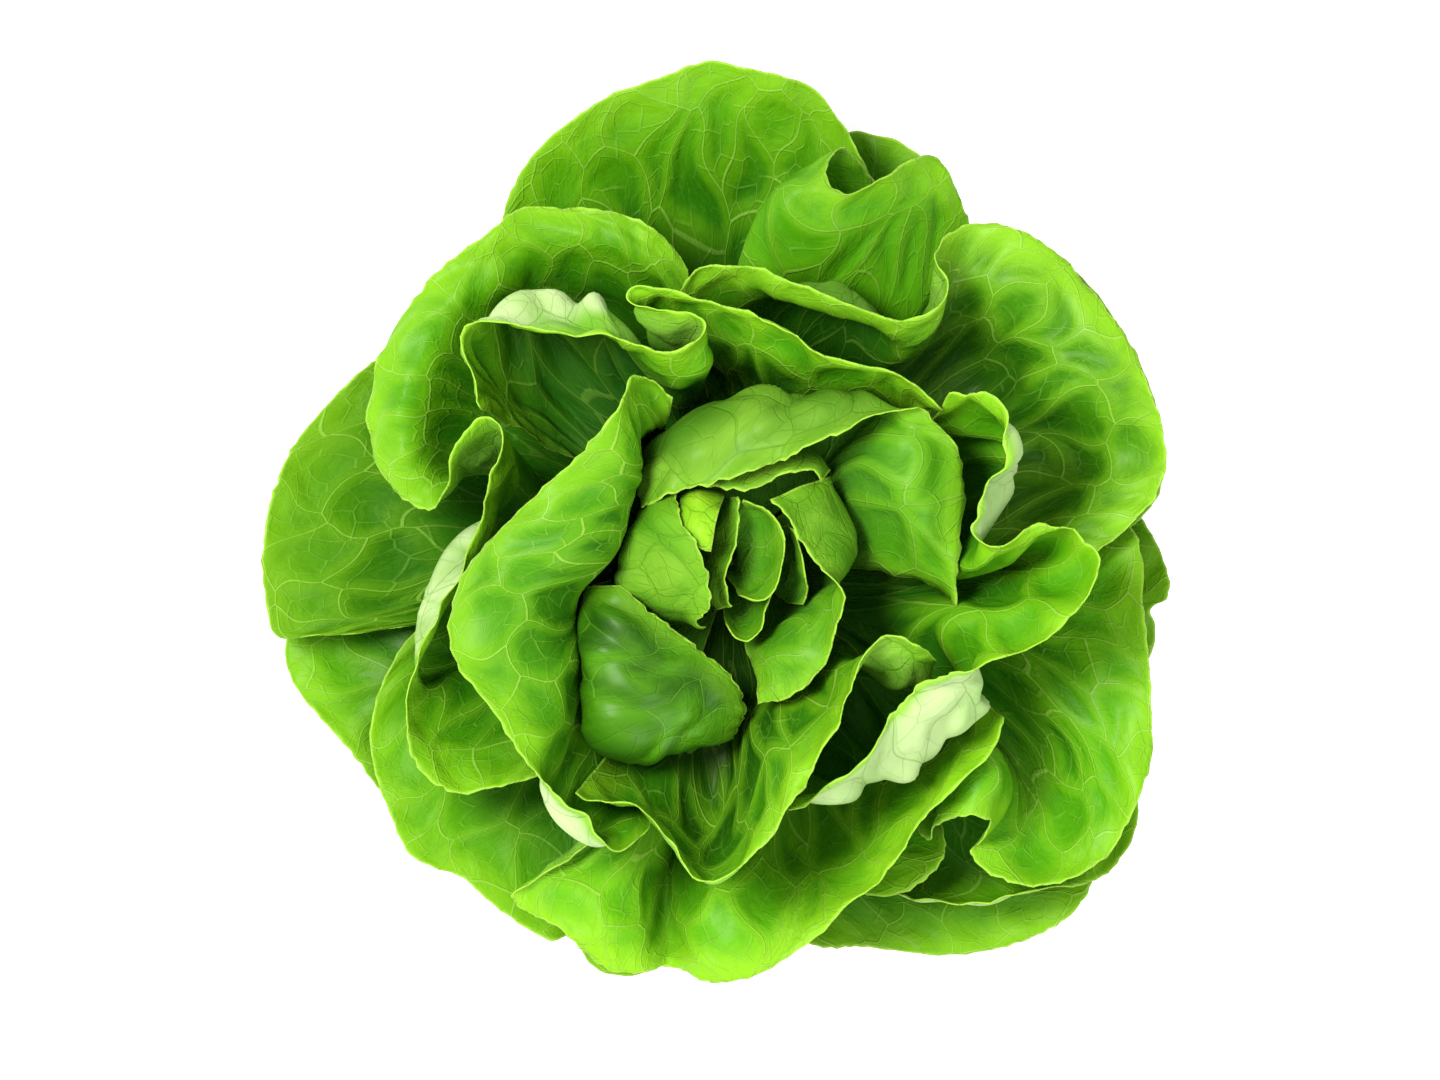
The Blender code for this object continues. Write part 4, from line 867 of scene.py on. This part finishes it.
class Nodes:
    """Short calls for building a material's node tree."""

    def __init__(self, name):
        self.material = bpy.data.materials.new(name)
        self.material.use_nodes = True
        self.tree = self.material.node_tree
        self.tree.nodes.clear()

    def add(self, kind, inputs=(), **values):
        """A new node with its settings, and a value or a link for each socket in inputs."""
        node = self.tree.nodes.new(kind)
        for key, value in values.items():
            setattr(node, key, value)
        for key, value in dict(inputs).items():
            self.link(value, node.inputs[key])
        return node

    def link(self, value, socket):
        if isinstance(value, (int, float)):
            socket.default_value = value
        elif isinstance(value, tuple):
            socket.default_value = value + (1.0,) * (len(socket.default_value) - len(value))
        else:
            self.tree.links.new(value, socket)

    def attribute(self, name, output="Fac"):
        return self.add("ShaderNodeAttribute", attribute_name=name).outputs[output]

    def place(self):
        return self.add("ShaderNodeTexCoord").outputs["Object"]

    def math(self, operation, a, b=0.0):
        return self.add("ShaderNodeMath", {0: a, 1: b}, operation=operation).outputs[0]

    def times(self, a, b):
        return self.math("MULTIPLY", a, b)

    def plus(self, a, b):
        return self.math("ADD", a, b)

    def vector(self, operation, a, b=(0.0, 0.0, 0.0), output="Vector"):
        return self.add("ShaderNodeVectorMath", {0: a, 1: b}, operation=operation).outputs[output]

    def ramp(self, value, low, high, start=0.0, end=1.0):
        """A smooth step from start to end as value goes from low to high."""
        inputs = enumerate((value, low, high, start, end))
        return self.add("ShaderNodeMapRange", inputs, interpolation_type="SMOOTHSTEP").outputs[0]

    def between(self, value, start, end):
        """A smooth step from start to end as value goes from 0 to 1."""
        return self.ramp(value, 0.0, 1.0, start, end)

    def noise(self, vector, scale, detail=2.0):
        inputs = {"Vector": vector, "Scale": scale, "Detail": detail}
        return self.add("ShaderNodeTexNoise", inputs).outputs["Fac"]

    def mix(self, factor, a, b):
        return self.add("ShaderNodeMix", {0: factor, 6: a, 7: b}, data_type="RGBA").outputs[2]

    def layered(self, color, layers):
        """A colour with others laid over it, each with its share."""
        for share, over in layers:
            color = self.mix(share, color, over)
        return color

    def bump(self, height, strength, distance):
        inputs = {"Strength": strength, "Distance": distance, "Height": height}
        return self.add("ShaderNodeBump", inputs).outputs[0]

    def finished(self, shader):
        """The material, showing what the shader gives."""
        self.add("ShaderNodeOutputMaterial", {"Surface": shader.outputs[0]})
        return self.material


def vein_distance(nodes, cell, scale):
    """How far a point is from the nearest vein of one network."""
    plan = nodes.add("ShaderNodeVectorMath", {0: nodes.plan, "Scale": scale}, operation="SCALE").outputs[0]
    return nodes.times(vein_cells(nodes.tree, plan), nodes.times(cell, 1.0 / scale))


def vein_mask(nodes, distance, width):
    """1 on the veins, falling to 0 a little way off them."""
    return nodes.ramp(nodes.math("DIVIDE", distance, width), 0.35, 1.0, 1.0, 0.0)


def pale_mask(nodes, spots):
    """1 in the spots (x, y, radius) where a leaf's underside is whitish, falling softly to 0 round them."""
    place = nodes.place()
    mask = 0.0
    for x, y, radius in spots:
        away = nodes.vector("SUBTRACT", place, (x * MM, y * MM, 0.0))
        flat = nodes.vector("MULTIPLY", away, (1.0, 1.0, 0.0))
        distance = nodes.vector("LENGTH", flat, output="Value")
        spot = nodes.ramp(distance, 0.6 * radius * MM, 1.2 * radius * MM, 1.0, 0.0)
        mask = nodes.math("MAXIMUM", spot, mask)
    return mask


def leaf_colors(nodes, look):
    """The colours of a leaf's upper and lower face, joined by the attribute that tells them apart.

    Both are built up in layers. The light margin reaches in unevenly: in part the leaf's paler edge, in part
    painted light.
    The darkest green is painted shade where little of the sky is seen, and it goes into the cell hollows
    away from the margin, in part as the leaf's darker inside and in part as painted shade. The upper face's
    veins, the light rim line and the pale midrib fade in the painted shade.
    """
    upper, margin, reach, sky = (nodes.attribute(name) for name in ("upper", "margin", "reach", "sky"))
    shade_and_dark_green, body, light = look["shade_and_dark_green"], look["body"], look["light"]
    edge_reach = look["edge_reach"]
    patch = nodes.noise(nodes.plan, PATCH_SCALE, 3.0)
    uneven = nodes.math("SUBTRACT", patch, 0.5)
    inside = nodes.plus(margin, nodes.times(uneven, EDGE_WANDER * edge_reach))
    # Lighter towards the margin: in part the leaf's paler edge, in part painted light.
    edge_light = nodes.ramp(inside, 0.0, edge_reach, 1.0, 0.0)
    inner = nodes.ramp(inside, 0.8 * edge_reach, 3.2 * edge_reach)
    # Painted shade: 0 where a point sees much of the sky, up to 1 where it sees little.
    depth = nodes.ramp(nodes.plus(sky, nodes.times(uneven, SKY_WANDER)), 0.75, 0.2)

    top = nodes.layered(body, [
        # The darkest green in the cell hollows away from the margin: in part the leaf's darker inside, in
        # part painted shade.
        (nodes.times(inner, nodes.between(nodes.hollow, 0.35, 0.85)), shade_and_dark_green),
        (nodes.times(edge_light, 0.8), light),
        (nodes.between(nodes.hollow, 0.3, 0.0), light),
        (nodes.times(nodes.ramp(nodes.speck, 0.45, 0.75), 0.12), light),
        # Painted shade: the darkest green where little sky is seen; the veins below fade in it.
        (nodes.times(depth, 0.95), shade_and_dark_green),
        (nodes.times(nodes.fine, nodes.between(depth, 0.2, 0.05)), look["vein"]),
        (nodes.times(nodes.main, nodes.between(depth, 0.5, 0.15)), look["vein"])])

    bottom = [(nodes.ramp(patch, 0.3, 0.72), look["under_light"]), (nodes.times(edge_light, 0.4), light)]
    if "pale" in look:
        pale = nodes.mix(nodes.ramp(patch, 0.3, 0.7), *look.get("whitish", PALE))
        bottom += [(pale_mask(nodes, look["pale"]), pale), (nodes.ramp(margin, 0.8, 4.5, 0.85, 0.0), light)]
    under_vein = look.get("under_vein", body)
    base = nodes.times(nodes.ramp(reach, 0.35, 0.05), 0.7)
    pale_rib = nodes.math("MAXIMUM", nodes.times(nodes.midrib, 0.8), base)
    bottom = nodes.layered(look["under"], bottom + [
        # Painted shade on the lower face where little sky is seen; the pale midrib fades in it.
        (nodes.times(depth, 0.75), shade_and_dark_green),
        (nodes.times(nodes.fine, 0.07), under_vein),
        (nodes.times(nodes.main, 0.35), under_vein),
        (nodes.times(pale_rib, nodes.ramp(depth, 0.5, 1.0, 1.0, 0.3)), look.get("rib", PALE_RIB))])

    # The thin light rim line: in part the leaf's pale edge, in part a painted glow of light through it; it
    # fades in the painted shade.
    rim = nodes.times(nodes.ramp(margin, 0.8, 0.15), nodes.ramp(depth, 0.3, 1.0, 0.7, 0.3))
    return nodes.mix(rim, nodes.mix(upper, bottom, top), RIM_AND_GLOW_COLOR), upper, depth


def leaf_material(name, look):
    nodes = Nodes(name)
    nodes.plan = nodes.attribute("vein_plan", "Vector")
    nodes.midrib = nodes.attribute("midrib")
    nodes.speck = nodes.noise(nodes.plan, SPECK_SCALE, 3.0)
    cell = nodes.attribute("vein_cell")
    off_vein = vein_distance(nodes, cell, 1.0)
    nodes.main = vein_mask(nodes, off_vein, nodes.ramp(nodes.attribute("reach"), 1.0, 0.3, 0.34, 0.5))
    nodes.hollow = nodes.ramp(off_vein, 0.4, 5.0)
    fine = vein_mask(nodes, vein_distance(nodes, cell, FINE_VEIN_SCALE), FINE_VEIN_WIDTH)
    nodes.fine = nodes.times(fine, nodes.ramp(nodes.noise(nodes.plan, 1.3), 0.3, 0.6))
    color, upper, depth = leaf_colors(nodes, look)

    veins = nodes.plus(nodes.times(nodes.main, 0.5), nodes.times(nodes.fine, 0.4))
    relief = nodes.times(veins, nodes.between(upper, -1.0, 1.0))
    relief = nodes.plus(relief, nodes.times(nodes.speck, 0.35))
    relief = nodes.plus(relief, nodes.times(nodes.noise(nodes.plan, 4.0, 4.0), 1.3))
    bump = nodes.bump(relief, 0.6, BUMP_HEIGHT)
    skin = nodes.add("ShaderNodeBsdfPrincipled", {
        "Base Color": color, "Normal": bump,
        "Roughness": nodes.plus(nodes.between(upper, 0.54, 0.44), nodes.times(nodes.speck, 0.16)),
        "IOR": LEAF_IOR, "Specular IOR Level": LEAF_SPECULAR, "Specular Tint": SHINE_TINT,
        "Coat Weight": look.get("shine", LEAF_COAT), "Coat Roughness": COAT_ROUGHNESS})
    # The light through the blade takes on the colour's painted shade where little sky is seen.
    through = nodes.add("ShaderNodeBsdfTranslucent", {
        "Color": nodes.mix(nodes.between(depth, 0.45, 0.1), color, look["through"]), "Normal": bump})
    thin = nodes.times(nodes.ramp(nodes.midrib, 0.0, 0.8, 1.0, 0.35), look["through_share"])
    both = nodes.add("ShaderNodeMixShader", {0: thin, 1: skin.outputs[0], 2: through.outputs[0]})
    return nodes.finished(both)


def stem_material():
    """Pale green skin, and a cream cut face with a ring of vessels and a little browning."""
    nodes = Nodes("stem_cut")
    place = nodes.place()
    height = nodes.add("ShaderNodeSeparateXYZ", {0: place}).outputs[2]
    length = nodes.vector("LENGTH", nodes.vector("MULTIPLY", place, (1.0, 1.0, 0.0)), output="Value")
    radius = nodes.plus(length, nodes.times(nodes.noise(place, 220.0, 3.0), 0.006))
    off_ring = nodes.math("ABSOLUTE", nodes.math("SUBTRACT", radius, 0.0155))
    browned = nodes.ramp(nodes.noise(place, 260.0, 5.0), 0.46, 0.70)
    face = nodes.layered(CUT_FACE, [
        (nodes.times(nodes.ramp(off_ring, 0.0, 0.0016, 1.0, 0.0), 0.5), CUT_RING),
        (nodes.times(browned, 0.55), CUT_BROWN)])
    skin = nodes.layered(STEM_SKIN, [
        (nodes.ramp(nodes.noise(place, 130.0, 4.0), 0.3, 0.7), STEM_SKIN_LIGHT),
        (nodes.ramp(height, STEM_GREEN_FROM, STEM_GREEN_TO), STEM_TIP_COLOR)])
    return nodes.finished(nodes.add("ShaderNodeBsdfPrincipled", {
        "Base Color": nodes.mix(nodes.ramp(height, 0.0004, 0.0016), face, skin),
        "Roughness": nodes.between(browned, 0.38, 0.62),
        "Normal": nodes.bump(nodes.noise(place, 700.0, 4.0), 0.5, 0.0006)}))


def floor_material():
    nodes = Nodes("white_floor")
    return nodes.finished(nodes.add("ShaderNodeBsdfPrincipled", {
        "Base Color": nodes.mix(nodes.noise(nodes.place(), 3.0), FLOOR_COLOR, FLOOR_COLOR_LIGHT),
        "Roughness": FLOOR_ROUGHNESS, "Emission Color": (1.0, 1.0, 1.0), "Emission Strength": FLOOR_GLOW}))


def stem_piece():
    """The stem, with a rounded cut edge and the low rings where leaves were broken off."""
    angles = np.linspace(0.0, TURN, STEM_SIDES, endpoint=False)
    rings = STEM_HEIGHT * np.linspace(0.0, 1.0, STEM_RINGS) ** RINGS_CROWDING
    heights = np.concatenate([[0.0] * len(CUT_FACE_SHARES), rings, [STEM_HEIGHT] * len(TIP_SHARES)])
    shares = np.concatenate([CUT_FACE_SHARES, np.ones(STEM_RINGS), TIP_SHARES])
    places = []
    for height, share in zip(heights, shares):
        rim = max(0.0, 1.0 - height / STEM_CHAMFER) ** 2 * STEM_CHAMFER * CHAMFER_SHARE
        scar = SCAR_DEPTH * np.abs(np.sin(height * SCAR_PITCH + angles))
        scar = scar + RIDGE_DEPTH * np.sin(RIDGES * angles + height * RIDGE_PITCH)
        radius = (stem_radius(height) - rim - np.clip(scar, 0.0, None) * min(1.0, height / 2)) * share
        level = np.full(STEM_SIDES, height)
        places.append(np.stack([radius * np.cos(angles), radius * np.sin(angles), level], axis=1))
    faces = []
    for row in range(0, (len(heights) - 1) * STEM_SIDES, STEM_SIDES):
        for side in range(STEM_SIDES):
            after = (side + 1) % STEM_SIDES
            faces.append((row + side, row + after, row + STEM_SIDES + after, row + STEM_SIDES + side))
    mesh = bpy.data.meshes.new("stem_turned")
    mesh.from_pydata((np.concatenate(places) * MM).tolist(), [], faces)
    weld(mesh)
    mesh.materials.append(stem_material())
    mesh.shade_smooth()
    piece = new_object("stem_turned", mesh)
    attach(piece, "root")
    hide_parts("stem")


def weld(mesh):
    """Joins points that lie on each other, and turns all faces outwards."""
    joined = bmesh.new()
    joined.from_mesh(mesh)
    bmesh.ops.remove_doubles(joined, verts=joined.verts[:], dist=WELD)
    bmesh.ops.recalc_face_normals(joined, faces=joined.faces[:])
    joined.to_mesh(mesh)
    joined.free()


def make_floor():
    mesh = bpy.data.meshes.new("floor")
    corners = [(x * FLOOR_REACH, y * FLOOR_REACH, 0.0) for x, y in ((-1, -1), (1, -1), (1, 1), (-1, 1))]
    mesh.from_pydata(corners, [], [(0, 1, 2, 3)])
    mesh.materials.append(floor_material())
    floor = new_object("floor", mesh)
    floor.location.z = -FLOOR_DROP * MM


def make_lights():
    for name, place, size, energy, color in LIGHTS:
        light = bpy.data.lights.new(name, "AREA")
        light.shape = "DISK"
        light.size = size
        light.energy = energy
        light.color = color
        lamp = new_object(name, light)
        lamp.visible_camera = False
        lamp.location = place
        lamp.rotation_euler = (Vector(LIGHT_TARGET) - Vector(place)).to_track_quat("-Z", "Y").to_euler()
    world = bpy.data.worlds.new("surround")
    world.use_nodes = True
    world.node_tree.nodes["Background"].inputs["Color"].default_value = SURROUND_COLOR
    world.node_tree.nodes["Background"].inputs["Strength"].default_value = SURROUND_STRENGTH
    bpy.context.scene.world = world


def make_camera():
    data = bpy.data.cameras.new("camera")
    data.sensor_width = SENSOR_WIDTH
    data.lens = SENSOR_WIDTH * (CAMERA_HEIGHT - FOCUS_HEIGHT) / (PHOTO_SCALE * PHOTO_WIDTH)
    data.clip_end = CAMERA_CLIP
    camera = new_object("camera", data)
    camera.location = (PHOTO_CENTRE[0] * MM, PHOTO_CENTRE[1] * MM, CAMERA_HEIGHT * MM)
    bpy.context.scene.camera = camera


def make_leaves():
    sheets = build_sheets()
    parts = zip(LEAVES, sheets, room_round(sheets), sky_seen(sheets))
    leaves = [Leaf(order, *part) for order, part in enumerate(parts)]
    edges = edge_distances(np.concatenate([leaf.plan.reshape(-1, 3) for leaf in leaves]))
    materials = {group: leaf_material(group + "_leaf", look) for group, look in LOOKS.items()}
    start = 0
    for leaf in leaves:
        leaf.shape(edges[start:start + leaf.cell.size])
        start += leaf.cell.size
        own = leaf_material(leaf.name, leaf.look) if leaf.name in LEAF_LOOKS else materials[leaf.group]
        leaf_piece(leaf, own)


def main():
    make_camera()
    make_lights()
    make_floor()
    make_leaves()
    stem_piece()
    bpy.context.scene.view_settings.view_transform = "Standard"
    bpy.context.scene.view_settings.look = "None"


main()
